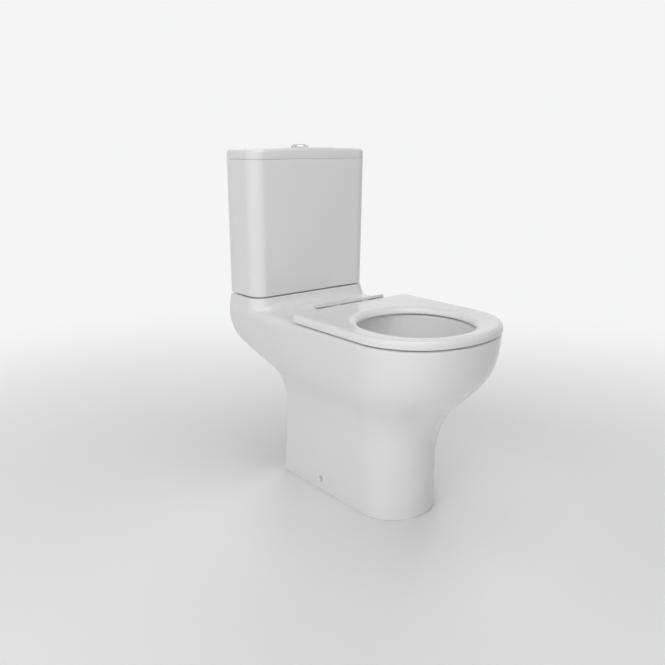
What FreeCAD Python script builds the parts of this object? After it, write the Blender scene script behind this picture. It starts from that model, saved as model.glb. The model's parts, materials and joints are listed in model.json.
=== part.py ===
"""Close-coupled toilet: open-back pan, cistern with a dual push button, and a ring seat on a hinge bar.

Millimetres. +Z is up, +Y points to the wall and +X is the right-hand side seen from the front.
The origin is on the floor under the middle of the overall box.
"""
import FreeCAD
import Part
import Sketcher

import math
import os
import re
from types import SimpleNamespace

from FreeCAD import Vector

# Driving dimensions. A reach is a distance out from the wall, a height is measured from the floor.
SIZES = {
    # Whole piece
    "overall_depth": 660.0,
    "rim_height": 425.0,
    # Pan outline
    "rim_width": 366.0,
    "rim_setback": 2.0,
    "rim_front_radius": 242.0,
    "rim_corner_offset": 28.0,
    "rim_rounding": 6.0,
    "foot_width": 197.0,
    "foot_reach": 507.0,
    "foot_front_radius": 108.0,
    "foot_corner_offset": 8.5,
    "foot_height": 60.0,
    "flare_drop": 152.0,
    "flare_spread": 37.0,
    "pan_wall": 11.0,
    "deck_thickness": 12.0,
    "fixing_hole_diameter": 12.0,
    "fixing_hole_reach": 267.0,
    "fixing_hole_height": 28.5,
    # Curve of the open back
    "foot_back_reach": 117.0,
    "waist_reach": 130.0,
    "waist_drop": 275.0,
    "waist_radius": 300.0,
    "hollow_reach": 166.0,
    "hollow_drop": 143.0,
    "hollow_radius": 30.0,
    "underside_drop": 67.0,
    "underside_radius": 75.0,
    # Cistern shelf
    "shelf_rise": 27.5,
    "shelf_margin": 1.0,
    "shelf_flare": 5.0,
    "shelf_lip": 1.5,
    "shelf_corner_radius": 36.0,
    "shelf_fillet": 25.0,
    "shelf_thickness": 14.5,
    # Bowl and trap
    "rim_ledge": 52.0,
    "bowl_front_band": 39.0,
    "bowl_back_reach": 337.0,
    "sump_back_reach": 366.0,
    "sump_depth": 42.0,
    "trap_bore": 78.0,
    "outlet_diameter": 102.0,
    "outlet_height": 190.0,
    "outlet_end_reach": 75.0,
    "outlet_turn_reach": 165.0,
    "outlet_turn_radius": 54.0,
    "dip_reach": 312.0,
    "dip_drop": 285.0,
    "dip_radius": 60.0,
    "crest_rise_reach": 290.0,
    "crest_fall_reach": 198.0,
    "crest_drop": 163.0,
    "crest_radius": 54.0,
    # Flush inlet
    "duct_bore": 50.0,
    "duct_wall": 9.0,
    "duct_drop": 47.0,
    "duct_radius": 45.0,
    "inlet_diameter": 94.0,
    "inlet_depth": 30.0,
    # Cistern and lid
    "cistern_setback": 0.5,
    "cistern_taper": 7.0,
    "cistern_top_reach": 117.5,
    "cistern_lean": 3.0,
    "cistern_corner_radius": 35.0,
    "cistern_height": 335.0,
    "cistern_wall": 10.0,
    "cistern_floor": 13.0,
    "wall_screw_spacing": 160.0,
    "wall_screw_height": 735.0,
    "wall_screw_hole": 7.0,
    "pad_thickness": 2.5,
    "pad_width": 40.0,
    "pad_depth": 50.0,
    "pad_inset": 36.5,
    "lid_height": 28.0,
    "lid_thickness": 10.0,
    "lid_rounding": 8.0,
    "lid_gap": 0.3,
    "lip_depth": 8.0,
    "lip_thickness": 6.0,
    "lip_clearance": 2.0,
    # Coupling bolts
    "valve_reach": 57.0,
    "bolt_spacing": 156.0,
    "bolt_advance": 30.0,
    "bolt_diameter": 8.0,
    "bolt_clearance": 1.0,
    "thread_clearance": 0.05,
    "bolt_head_width": 13.0,
    "bolt_head_height": 5.5,
    "bolt_tail": 16.0,
    "bolt_seal_diameter": 24.0,
    "bolt_seal_thickness": 4.0,
    "bolt_washer_diameter": 24.0,
    "bolt_washer_thickness": 2.0,
    "wing_nut_hub": 16.0,
    "wing_nut_height": 9.0,
    "wing_span": 34.0,
    "wing_thickness": 4.0,
    # Flush valve
    "tail_diameter": 60.0,
    "tail_bore": 46.0,
    "tail_length": 31.0,
    "back_nut_width": 80.0,
    "back_nut_height": 11.0,
    "seal_clearance": 0.5,
    "valve_washer_thickness": 3.0,
    "flange_diameter": 84.0,
    "flange_thickness": 4.0,
    "cage_height": 60.0,
    "cage_wall": 3.0,
    "cage_clearance": 1.5,
    "cage_roof": 6.0,
    "window_width": 26.0,
    "window_height": 40.0,
    "window_sill": 4.0,
    "seal_thickness": 3.0,
    "seal_lap": 3.0,
    "plunger_diameter": 28.0,
    "plunger_wall": 3.0,
    "plunger_foot": 4.0,
    "plunger_top": 195.0,
    "slide_clearance": 0.5,
    "float_ring_diameter": 44.0,
    "float_ring_height": 40.0,
    "tower_height": 150.0,
    "tower_column_diameter": 8.0,
    "tower_column_spacing": 56.0,
    "tower_plate_width": 60.0,
    "tower_plate_depth": 68.0,
    "tower_plate_thickness": 6.0,
    "tower_base_thickness": 4.0,
    "tower_eye_diameter": 36.0,
    "collar_diameter": 40.0,
    "collar_height": 6.0,
    "collar_gap": 12.0,
    # Flush levers
    "rod_offset": 8.0,
    "pivot_offset": 20.0,
    "lift_offset": 36.0,
    "lever_thickness": 4.0,
    "lever_width": 6.0,
    "lever_overrun": 2.0,
    "lever_height": 8.0,
    "lever_pin_diameter": 4.0,
    "pin_clearance": 0.1,
    "ear_thickness": 3.0,
    "ear_clearance": 0.5,
    "ear_length": 8.0,
    "link_width": 4.0,
    "link_depth": 8.0,
    "contact_gap": 0.8,
    # Push button
    "button_hole": 38.0,
    "bezel_diameter": 46.0,
    "bezel_height": 5.0,
    "sleeve_clearance": 0.4,
    "sleeve_wall": 2.0,
    "sleeve_length": 40.0,
    "button_clearance": 0.4,
    "button_split": 0.8,
    "button_proud": 2.5,
    "button_thickness": 6.0,
    "button_nut_diameter": 54.0,
    "button_nut_height": 8.0,
    "guide_thickness": 4.0,
    "push_rod_diameter": 6.0,
    "spring_diameter": 11.0,
    "spring_wall": 1.0,
    # Fill valve
    "fill_inset": 57.5,
    "fill_thread": 20.9,
    "fill_shank": 21.4,
    "fill_tail": 38.0,
    "fill_flange_diameter": 36.0,
    "fill_flange_thickness": 4.0,
    "fill_washer_thickness": 3.0,
    "fill_nut_width": 30.0,
    "fill_nut_height": 8.0,
    "fill_hole_clearance": 1.0,
    "fill_access_hole": 46.0,
    "riser_diameter": 18.0,
    "riser_bore": 10.0,
    "riser_height": 200.0,
    "fill_head_diameter": 30.0,
    "fill_head_height": 26.0,
    "fill_cap_height": 8.0,
    "float_diameter": 58.0,
    "float_height": 80.0,
    "float_rise": 90.0,
    "float_wall": 2.5,
    "float_clearance": 0.6,
    "float_rod_diameter": 4.0,
    "arm_reach": 38.0,
    "arm_width": 8.0,
    "arm_thickness": 4.0,
    "arm_pivot_drop": 8.0,
    "float_lug_thickness": 5.0,
    # Seat
    "seat_overhang": 1.0,
    "seat_gap": 4.0,
    "seat_thickness": 18.0,
    "seat_front_radius": 242.0,
    "seat_corner_offset": 28.0,
    "seat_back_corner": 18.0,
    "seat_rounding": 6.0,
    "seat_edge_break": 2.0,
    "seat_side_band": 59.5,
    "seat_front_band": 50.5,
    "seat_rear_band": 91.2,
    "buffer_diameter": 18.0,
    "buffer_rear_reach": 318.0,
    "buffer_rear_inset": 33.0,
    "buffer_front_setback": 64.0,
    "buffer_front_inset": 88.0,
    # Hinge
    "bar_diameter": 9.0,
    "bar_length": 213.0,
    "bar_reach": 258.0,
    "bar_height": 24.0,
    "bar_clearance": 0.35,
    "seat_back_gap": 0.8,
    "hook_wall": 4.0,
    "hook_width": 24.0,
    "hook_spacing": 90.0,
    "post_spacing": 155.0,
    "post_diameter": 8.0,
    "post_spigot_diameter": 5.0,
    "post_spigot_length": 3.0,
    "post_flange_diameter": 17.0,
    "post_flange_thickness": 2.0,
    "post_tail": 24.0,
    "post_hole": 14.0,
    "gasket_thickness": 1.0,
    "post_nut_diameter": 26.0,
    "post_nut_height": 12.0,
}

# Places that follow from the driving dimensions, worked out in the sheet.
PLACES = {
    "wall_y": "overall_depth / 2",
    "valve_y": "wall_y - valve_reach",
    "rim_reach": "overall_depth - rim_setback",
    "rim_corner_radius": "rim_width / 2 - rim_corner_offset",
    "foot_corner_radius": "foot_width / 2 - foot_corner_offset",
    "flare_height": "rim_height - flare_drop",
    "waist_height": "rim_height - waist_drop",
    "hollow_height": "rim_height - hollow_drop",
    "underside_height": "rim_height - underside_drop",
    "deck_underside": "rim_height - deck_thickness",
    "dip_height": "rim_height - dip_drop",
    "sump_height": "dip_height - sump_depth",
    "sump_reach": "(foot_reach - bowl_front_band + sump_back_reach) / 2",
    "crest_height": "rim_height - crest_drop",
    "duct_height": "rim_height - duct_drop",
    "cistern_top_width": "rim_width - 2 * cistern_setback",
    "cistern_base_width": "cistern_top_width - 2 * cistern_taper",
    "cistern_base_reach": "cistern_top_reach - cistern_lean",
    "shelf_width": "cistern_base_width + 2 * shelf_margin",
    "shelf_reach": "cistern_base_reach + shelf_lip",
    "shelf_top": "rim_height + shelf_rise",
    "shelf_underside": "shelf_top - shelf_thickness",
    "inlet_floor": "shelf_top - inlet_depth",
    "cistern_base": "shelf_top + pad_thickness",
    "cistern_inside": "cistern_base + cistern_floor",
    "cistern_top": "cistern_base + cistern_height",
    "lid_base": "cistern_top + lid_gap",
    "lid_top": "lid_base + lid_height",
    "lid_underside": "lid_top - lid_thickness",
    "valve_flange": "cistern_inside + valve_washer_thickness",
    "valve_seat": "valve_flange + flange_thickness",
    "cage_top": "valve_seat + cage_height + cage_roof",
    "plunger_base": "valve_seat + seal_thickness",
    "tower_plate": "cage_top + tower_height",
    "tower_plate_top": "tower_plate + tower_plate_thickness",
    "lever_axis": "tower_plate_top + lever_height",
    "lever_top": "lever_axis + lever_thickness / 2",
    "link_offset": "lift_offset + lever_overrun + 2 * contact_gap",
    "sleeve_radius": "button_hole / 2 - sleeve_clearance",
    "sleeve_bore_radius": "sleeve_radius - sleeve_wall",
    "button_top": "lid_top + bezel_height + button_proud",
    "button_base": "button_top - button_thickness",
    "sleeve_base": "lid_top - sleeve_length",
    "guide_top": "sleeve_base + guide_thickness",
    "bolt_y": "valve_y - bolt_advance",
    "fill_offset": "cistern_base_width / 2 - fill_inset",
    "fill_flange": "cistern_inside + fill_washer_thickness",
    "riser_base": "fill_flange + fill_flange_thickness",
    "fill_head": "riser_base + riser_height",
    "arm_axis": "fill_head + fill_head_height - arm_pivot_drop",
    "float_base": "riser_base + float_rise",
    "bar_y": "wall_y - bar_reach",
    "bar_z": "rim_height + bar_height",
    "seat_base": "rim_height + seat_gap",
    "seat_top": "seat_base + seat_thickness",
    "seat_width": "rim_width + 2 * seat_overhang",
    "seat_corner_radius": "seat_width / 2 - seat_corner_offset",
    "seat_front_y": "-overall_depth / 2",
    "seat_back_y": "bar_y - bar_diameter / 2 - seat_back_gap",
    "opening_width": "seat_width - 2 * seat_side_band",
    "opening_length": "seat_back_y - seat_front_y - seat_front_band - seat_rear_band",
    "opening_y": "seat_front_y + seat_front_band + opening_length / 2",
    "buffer_rear_y": "wall_y - buffer_rear_reach",
    "buffer_rear_x": "rim_width / 2 - buffer_rear_inset",
    "buffer_front_y": "seat_front_y + buffer_front_setback",
    "buffer_front_x": "rim_width / 2 - buffer_front_inset",
}

SIDES = (("left", -1), ("right", 1))
FLUSHES = (("full", 1), ("half", -1))

doc = FreeCAD.newDocument("Toilet")
sheet = doc.addObject("Spreadsheet::Sheet", "Sizes")
for row, (alias, content) in enumerate([*SIZES.items(), *PLACES.items()], start=1):
    sheet.set(f"A{row}", alias)
    sheet.set(f"B{row}", f"={content}" if alias in PLACES else str(content))
    sheet.setAlias(f"B{row}", alias)
doc.recompute()
size = SimpleNamespace(**{alias: float(sheet.get(alias)) for alias in [*SIZES, *PLACES]})

sub_parts = []


# Helpers for bound sizes

def linked(text):
    """An expression in which every size name points at its cell of the sheet."""
    names = "|".join([*SIZES, *PLACES])
    return re.sub(rf"\b({names})\b", r"Sizes.\1", text)


def number(text):
    """The present value of an expression of size names."""
    return float(sheet.evalExpression(linked(text)))


def bind(item, **expressions):
    """Bind properties of an object to expressions of size names."""
    for name, text in expressions.items():
        item.setExpression(name, linked(text))
    return item


def place(item, x="0", y="0", z="0"):
    """Bind an object's position."""
    for axis, text in (("x", x), ("y", y), ("z", z)):
        item.setExpression(f"Placement.Base.{axis}", linked(text))
    return item


def sub_part(label, item):
    """Register an object as the sub-part whose file carries this label."""
    item.Label = label
    sub_parts.append(item)
    return item


def cylinder(diameter, height, x="0", y="0", z="0"):
    """An upright cylinder on a point."""
    item = bind(doc.addObject("Part::Cylinder", "Cylinder"), Radius=f"({diameter}) / 2", Height=height)
    return place(item, x, y, z)


def cross_cylinder(diameter, length, x, y, z, direction):
    """A cylinder centred on a point and lying along X or Y."""
    item = bind(doc.addObject("Part::Cylinder", "Cylinder"), Radius=f"({diameter}) / 2", Height=length)
    along = {"X": Vector(0, 1, 0), "Y": Vector(-1, 0, 0)}[direction]
    item.Placement.Rotation = FreeCAD.Rotation(along, 90)
    half_length = f"({length}) / 2"
    if direction == "X":
        x = f"{x} - {half_length}"
    else:
        y = f"{y} - {half_length}"
    return place(item, x, y, z)


def block(length, width, height, x, y, z):
    """A box centred on x and y and standing on z."""
    item = bind(doc.addObject("Part::Box", "Box"), Length=length, Width=width, Height=height)
    return place(item, f"{x} - ({length}) / 2", f"{y} - ({width}) / 2", z)


def fused(*items):
    item = doc.addObject("Part::MultiFuse", "Fuse")
    item.Shapes = list(items)
    return item


def cut(base, *tools):
    """Take tools away from a base."""
    item = doc.addObject("Part::Cut", "Cut")
    item.Base = base
    item.Tool = tools[0] if len(tools) == 1 else fused(*tools)
    return item


def pin_point(sketch, geometry, end, u, v):
    """Tie one end of a sketch line to two expressions."""
    for kind, axis, text in (("DistanceX", -2, u), ("DistanceY", -1, v)):
        if text == "0":
            sketch.addConstraint(Sketcher.Constraint("PointOnObject", geometry, end, axis))
            continue
        index = sketch.addConstraint(Sketcher.Constraint(kind, -1, 1, geometry, end, number(text)))
        sketch.setExpression(f"Constraints[{index}]", linked(text))


def turned(name, profile, x="0", y="0", z="0"):
    """A body turned about its own upright axis from a closed profile of (radius, height) expressions."""
    body = doc.addObject("PartDesign::Body", name)
    sketch = body.newObject("Sketcher::SketchObject", f"{name}_profile")
    plane = next(item for item in body.Origin.OriginFeatures if item.Role == "XZ_Plane")
    sketch.AttachmentSupport = [(plane, "")]
    sketch.MapMode = "FlatFace"
    spots = [Vector(number(u), number(v), 0) for u, v in profile]
    count = len(spots)
    for index in range(count):
        sketch.addGeometry(Part.LineSegment(spots[index], spots[(index + 1) % count]), False)
    for index in range(count):
        sketch.addConstraint(Sketcher.Constraint("Coincident", index, 2, (index + 1) % count, 1))
    for index, (u, v) in enumerate(profile):
        pin_point(sketch, index, 1, u, v)
    spin = body.newObject("PartDesign::Revolution", f"{name}_turn")
    spin.Profile = sketch
    spin.ReferenceAxis = (sketch, ["V_Axis"])
    spin.Angle = 360.0
    return place(body, x, y, z)


def ring(name, outer, inner, height, x="0", y="0", z="0"):
    """A plain washer or sleeve."""
    bore, rim = f"({inner}) / 2", f"({outer}) / 2"
    return turned(name, [(bore, "0"), (rim, "0"), (rim, height), (bore, height)], x, y, z)


def hex_prism(width, height, x, y, z):
    """A hexagon of a given width across flats."""
    item = doc.addObject("Part::Prism", "Prism")
    item.Polygon = 6
    bind(item, Circumradius=f"({width}) / 2 / cos(30 deg)", Height=height)
    return place(item, x, y, z)


def moulded(label, shape):
    """A sub-part whose free form is set as a shape."""
    item = doc.addObject("Part::Feature", label)
    item.Shape = shape
    return sub_part(label, item)


# Helpers for free forms

def line(start, end):
    return Part.LineSegment(Vector(*start), Vector(*end)).toShape()


def arc(start, middle, end):
    return Part.Arc(Vector(*start), Vector(*middle), Vector(*end)).toShape()


def arched_wire(z, half_width, front, front_radius, corner_radius, back, back_corner=0.0):
    """Outline at height z: straight back and sides, and a front arch of one wide and two tighter arcs."""
    corner_x = half_width - corner_radius
    front_centre = front + front_radius
    stretch = front_radius / (front_radius - corner_radius)
    corner_y = front_centre - math.sqrt((front_radius - corner_radius) ** 2 - corner_x ** 2)
    joint_x = corner_x * stretch
    joint_y = front_centre + (corner_y - front_centre) * stretch
    turn = math.atan2(joint_y - corner_y, joint_x - corner_x) / 2
    bend_x = corner_x + corner_radius * math.cos(turn)
    bend_y = corner_y + corner_radius * math.sin(turn)
    edges = []
    if back_corner:
        slack = back_corner * (1 - math.sqrt(0.5))
        inner_x, inner_y = half_width - back_corner, back - back_corner
        bow_x, bow_y = half_width - slack, back - slack
        edges.append(line((-inner_x, back, z), (inner_x, back, z)))
        edges.append(arc((inner_x, back, z), (bow_x, bow_y, z), (half_width, inner_y, z)))
        edges.append(line((half_width, inner_y, z), (half_width, corner_y, z)))
    else:
        edges.append(line((-half_width, back, z), (half_width, back, z)))
        edges.append(line((half_width, back, z), (half_width, corner_y, z)))
    edges.append(arc((half_width, corner_y, z), (bend_x, bend_y, z), (joint_x, joint_y, z)))
    edges.append(arc((joint_x, joint_y, z), (0, front, z), (-joint_x, joint_y, z)))
    edges.append(arc((-joint_x, joint_y, z), (-bend_x, bend_y, z), (-half_width, corner_y, z)))
    if back_corner:
        edges.append(line((-half_width, corner_y, z), (-half_width, inner_y, z)))
        edges.append(arc((-half_width, inner_y, z), (-bow_x, bow_y, z), (-inner_x, back, z)))
    else:
        edges.append(line((-half_width, corner_y, z), (-half_width, back, z)))
    return Part.Wire(edges)


def tank_wire(z, half_width, front, radius, back):
    """Outline at height z: square at the back, with two rounded front corners."""
    side, flat = half_width - radius, front + radius
    slack = radius * (1 - math.sqrt(0.5))
    return Part.Wire([
        line((-half_width, back, z), (half_width, back, z)),
        line((half_width, back, z), (half_width, flat, z)),
        arc((half_width, flat, z), (half_width - slack, front + slack, z), (side, front, z)),
        line((side, front, z), (-side, front, z)),
        arc((-side, front, z), (slack - half_width, front + slack, z), (-half_width, flat, z)),
        line((-half_width, flat, z), (-half_width, back, z)),
    ])


def rounded_path(points, radii):
    """Wire in the plane X = 0 through (y, z) points, with an arc of given radius at each inner point."""
    corners = [Vector(0, y, z) for y, z in points]
    edges, start = [], corners[0]
    for before, corner, after, radius in zip(corners, corners[1:], corners[2:], radii):
        towards, away = (before - corner).normalize(), (after - corner).normalize()
        half_angle = towards.getAngle(away) / 2
        bisector = (towards + away).normalize()
        first = corner + towards * (radius / math.tan(half_angle))
        last = corner + away * (radius / math.tan(half_angle))
        middle = corner + bisector * (radius / math.sin(half_angle) - radius)
        edges += [line(start, first), arc(first, middle, last)]
        start = last
    return Part.Wire([*edges, line(start, corners[-1])])


def pipe(path, diameter):
    """A round bar along a path."""
    start = path.OrderedVertexes[0].Point
    heading = path.OrderedVertexes[1].Point - start
    section = Part.Wire(Part.makeCircle(diameter / 2, start, heading))
    return path.makePipeShell([section], True, False)


def flare(z):
    """Share of the way from the foot's outline to the rim's at height z: an S-shaped logistic curve."""
    def raw(height):
        return 1 / (1 + math.exp((size.flare_height - height) / size.flare_spread))
    return (raw(z) - raw(0)) / (raw(size.rim_height) - raw(0))


def flared(foot, rim, z):
    """Size at height z between the foot's and the rim's."""
    return foot + (rim - foot) * flare(z)


def skin_half_width(z):
    return flared(size.foot_width, size.rim_width, z) / 2


def skin_reach(z):
    return flared(size.foot_reach, size.rim_reach, z)


def pan_wire(z, inset, back):
    """Outline of the pan at height z, moved in by the inset."""
    return arched_wire(
        z,
        skin_half_width(z) - inset,
        size.wall_y - skin_reach(z) + inset,
        flared(size.foot_front_radius, size.rim_front_radius, z) - inset,
        flared(size.foot_corner_radius, size.rim_corner_radius, z) - inset,
        back,
    )


def oval(centre, half_width, half_length):
    """Closed ellipse about a centre, drawn from its back point whichever half axis is the longer."""
    back, side = Vector(0, half_length, 0), Vector(half_width, 0, 0)
    if half_length >= half_width:
        return Part.Wire(Part.Ellipse(centre + back, centre - side, centre).toShape())
    quarter = math.pi / 2
    wide = Part.Ellipse(centre + side, centre + back, centre)
    return Part.Wire(wide.toShape(quarter, 5 * quarter))


# Shares of the way from the floor to the flare, and from the flare to the top, that get an outline
SHARES_BELOW_FLARE = (0, 0.2, 0.4, 0.58, 0.74, 0.85, 0.93)
SHARES_ABOVE_FLARE = (0.02, 0.18, 0.36, 0.56, 0.78, 1)
# Distance within which an edge counts as lying on a face
ON_FACE = 0.01


def pan_levels(top):
    """Heights of the pan's outlines, close together where the flare is steep."""
    rise = top - size.flare_height
    low = [size.flare_height * share for share in SHARES_BELOW_FLARE]
    high = [size.flare_height + rise * share for share in SHARES_ABOVE_FLARE]
    return low + high


# Pan: foot, skirt, deck, bowl, trap and inlet, which are fired together as one casting

def pan_skin():
    """Outer skin as a solid block with the shelf on top, its back cut to the curve of the open back."""
    skin = Part.makeLoft([pan_wire(z, 0, size.wall_y) for z in pan_levels(size.rim_height)], True)
    rim_edges = [
        edge for edge in skin.Edges
        if min(end.Z for end in edge.Vertexes) > size.rim_height - ON_FACE
        and edge.CenterOfMass.y < size.wall_y - ON_FACE
    ]
    skin = skin.makeFillet(size.rim_rounding, rim_edges)
    return skin.fuse(shelf_block()).cut(back_space())


# Shares of the shelf's hollow fillet that get an outline
FILLET_SHARES = (0, 0.12, 0.32, 0.6, 1)


def shelf_block():
    """Raised shelf that carries the cistern, with a hollow fillet down to the deck at its front."""
    outlines = [(size.rim_height - 2 * size.rim_rounding, 0.0)]
    outlines += [(size.rim_height + size.shelf_fillet * share, share) for share in FILLET_SHARES]
    outlines.append((size.shelf_top, 1.0))
    wires = []
    for z, share in outlines:
        sweep = size.shelf_fillet * (1 - math.sqrt(1 - (1 - share) ** 2))
        lean = size.shelf_flare * (size.shelf_top - z) / (size.shelf_rise + 2 * size.rim_rounding)
        wires.append(tank_wire(
            z,
            size.shelf_width / 2 + lean,
            size.wall_y - size.shelf_reach - sweep,
            size.shelf_corner_radius + sweep,
            size.wall_y,
        ))
    return Part.makeLoft(wires, True, True)


def back_space():
    """Space behind the pan's curved back, as wide as the rim."""
    points = [
        (size.foot_back_reach, -size.rim_height),
        (size.foot_back_reach, 0),
        (size.waist_reach, size.waist_height),
        (size.hollow_reach, size.hollow_height),
        (0, size.underside_height),
        (0, size.rim_height),
    ]
    radii = (size.waist_radius, size.waist_radius, size.hollow_radius, size.underside_radius)
    curve = rounded_path([(size.wall_y - reach, z) for reach, z in points], radii)
    end = curve.OrderedVertexes[-2].Point
    beyond = size.wall_y + size.foot_back_reach
    edges = curve.OrderedEdges[:-1] + [
        line(end, (0, beyond, end.z)),
        line((0, beyond, end.z), (0, beyond, -size.rim_height)),
        line((0, beyond, -size.rim_height), (0, size.wall_y - size.foot_back_reach, -size.rim_height)),
    ]
    face = Part.Face(Part.Wire(edges))
    face.translate(Vector(-size.rim_width, 0, 0))
    return face.extrude(Vector(2 * size.rim_width, 0, 0))


def pan_hollow():
    """Hollow under the deck and the shelf, open at the back and at the floor."""
    behind = size.wall_y + size.pan_wall
    levels = pan_levels(size.deck_underside)
    under_deck = Part.makeLoft([pan_wire(z, size.pan_wall, behind) for z in levels], True)
    shelf_inset = 2 * size.pan_wall
    under_shelf = Part.makeBox(
        size.shelf_width - shelf_inset,
        size.shelf_reach,
        size.shelf_underside - size.underside_height,
        Vector(
            shelf_inset / 2 - size.shelf_width / 2,
            size.wall_y - size.shelf_reach + size.pan_wall,
            size.underside_height,
        ),
    )
    return under_deck.fuse(under_shelf)


# Shares of the bowl's depth that get an outline, and how far its mouth is cut past the rim
BOWL_STEPS = (0.14, 0.28, 0.42, 0.56, 0.7, 0.85, 1)
BOWL_OVERCUT = 0.02


def bowl_form(wall, floor, first_step):
    """Bowl as a solid, grown by a wall: ellipses that keep their distance from the pan's skin."""
    wires = []
    for step in (first_step, *BOWL_STEPS):
        z = size.rim_height + (floor - size.rim_height) * step
        front = skin_reach(z) - size.bowl_front_band
        back = size.bowl_back_reach + (size.sump_back_reach - size.bowl_back_reach) * step
        centre = Vector(0, size.wall_y - (front + back) / 2, z)
        half_width = skin_half_width(z) - size.rim_ledge
        wires.append(oval(centre, half_width + wall, (front - back) / 2 + wall))
    return Part.makeLoft(wires, True)


def trap_path(start_reach, end_reach):
    """Centre line of the waterway from the sump over the crest to the outlet."""
    points = [
        (start_reach, size.dip_height),
        (size.dip_reach, size.dip_height),
        (size.crest_rise_reach, size.crest_height),
        (size.crest_fall_reach, size.crest_height),
        (size.outlet_turn_reach, size.outlet_height),
        (end_reach, size.outlet_height),
    ]
    radii = (size.dip_radius, size.crest_radius, size.crest_radius, size.outlet_turn_radius)
    return rounded_path([(size.wall_y - reach, z) for reach, z in points], radii)


def duct_path(top, end_reach):
    """Centre line of the flush duct from the inlet down and forward into the bowl."""
    points = [
        (size.valve_reach, top),
        (size.valve_reach, size.duct_height),
        (end_reach, size.duct_height),
    ]
    return rounded_path([(size.wall_y - reach, z) for reach, z in points], (size.duct_radius,))


def upright(diameter, x, y, bottom, top):
    return Part.makeCylinder(diameter / 2, top - bottom, Vector(x, y, bottom))


def pan_slice(bottom, top):
    """Block that holds everything of the pan between two heights."""
    corner = Vector(-size.rim_width, -size.overall_depth, bottom)
    return Part.makeBox(2 * size.rim_width, 2 * size.overall_depth, top - bottom, corner)


def make_pan():
    """Foot, skirt, deck, bowl, trap and inlet of the pan, cut to meet each other face to face."""
    shell = pan_skin().cut(pan_hollow())
    bowl_block = bowl_form(size.pan_wall, size.sump_height - size.pan_wall, BOWL_OVERCUT)
    bowl_space = bowl_form(0, size.sump_height, -BOWL_OVERCUT)
    trap_block = pipe(trap_path(size.sump_reach, size.outlet_end_reach), size.outlet_diameter)
    trap_space = pipe(trap_path(size.sump_reach, size.outlet_end_reach - size.pan_wall), size.trap_bore)
    duct_outer = size.duct_bore + 2 * size.duct_wall
    duct_block = pipe(duct_path(size.inlet_floor + size.duct_wall, size.bowl_back_reach), duct_outer)
    duct_space = pipe(duct_path(size.shelf_top, size.bowl_back_reach + size.pan_wall), size.duct_bore)
    over = size.shelf_top + size.pan_wall
    boss_diameter = size.inlet_diameter + 2 * size.duct_wall
    boss_base = size.inlet_floor - size.duct_wall
    boss = upright(boss_diameter, 0, size.valve_y, boss_base, size.shelf_underside)
    inlet_space = upright(size.inlet_diameter, 0, size.valve_y, size.inlet_floor, over)

    deck_holes = [upright(size.fill_access_hole, size.fill_offset, size.valve_y, boss_base, over)]
    for _, sign in SIDES:
        bolt_hole = size.bolt_diameter + 2 * size.bolt_clearance
        deck_holes.append(upright(bolt_hole, sign * size.bolt_spacing / 2, size.bolt_y, boss_base, over))
        post_x = sign * size.post_spacing / 2
        deck_holes.append(upright(size.post_hole, post_x, size.bar_y, size.underside_height, over))
    fixing_start = Vector(-size.rim_width, size.wall_y - size.fixing_hole_reach, size.fixing_hole_height)
    fixing_radius = size.fixing_hole_diameter / 2
    fixing_holes = Part.makeCylinder(fixing_radius, 2 * size.rim_width, fixing_start, Vector(1, 0, 0))

    foot = shell.common(pan_slice(0, size.foot_height))
    skirt = shell.common(pan_slice(size.foot_height, size.deck_underside))
    deck = shell.common(pan_slice(size.deck_underside, over))
    return {
        "pan_foot": foot.cut(fixing_holes),
        "pan_skirt": skirt,
        "pan_deck": deck.cut([bowl_space, inlet_space, *deck_holes]),
        "pan_bowl": bowl_block.cut([shell, bowl_space, trap_space, duct_space]),
        "pan_trap": trap_block.cut([bowl_block, trap_space]),
        "pan_inlet": duct_block.fuse(boss).cut([shell, bowl_block, duct_space, inlet_space]),
    }


for label, shape in make_pan().items():
    moulded(label, shape.removeSplitter())


# Cistern and its lid

def tank_form(inset, bottom, top):
    """Tapered block of the cistern between two heights, moved in by the inset, with a flat back."""
    wires = []
    for z in (bottom, top):
        share = (z - size.cistern_base) / size.cistern_height
        width = size.cistern_base_width + (size.cistern_top_width - size.cistern_base_width) * share
        reach = size.cistern_base_reach + (size.cistern_top_reach - size.cistern_base_reach) * share
        front, beyond = size.wall_y - reach + inset, size.wall_y + size.cistern_wall
        wires.append(tank_wire(z, width / 2 - inset, front, size.cistern_corner_radius - inset, beyond))
    corner = Vector(-size.rim_width, size.wall_y - inset, bottom)
    behind = Part.makeBox(2 * size.rim_width, 2 * size.cistern_wall, top - bottom, corner)
    return Part.makeLoft(wires, True, True).cut(behind)


def make_cistern():
    """Tank with an outlet, two bolt holes and an inlet in its floor, and two screw holes in its back."""
    holes = [tank_form(size.cistern_wall, size.cistern_inside, size.cistern_top)]
    low, high = size.cistern_base - size.cistern_floor, size.cistern_inside + size.cistern_floor
    outlet = size.tail_diameter + 2 * size.seal_clearance
    holes.append(upright(outlet, 0, size.valve_y, low, high))
    inlet = size.fill_shank + 2 * size.fill_hole_clearance
    holes.append(upright(inlet, size.fill_offset, size.valve_y, low, high))
    for _, sign in SIDES:
        bolt_hole = size.bolt_diameter + 2 * size.bolt_clearance
        holes.append(upright(bolt_hole, sign * size.bolt_spacing / 2, size.bolt_y, low, high))
        screw_x = sign * size.wall_screw_spacing / 2
        start = Vector(screw_x, size.wall_y - 2 * size.cistern_wall, size.wall_screw_height)
        radius = size.wall_screw_hole / 2
        holes.append(Part.makeCylinder(radius, 3 * size.cistern_wall, start, Vector(0, 1, 0)))
    return tank_form(0, size.cistern_base, size.cistern_top).cut(holes)


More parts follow.
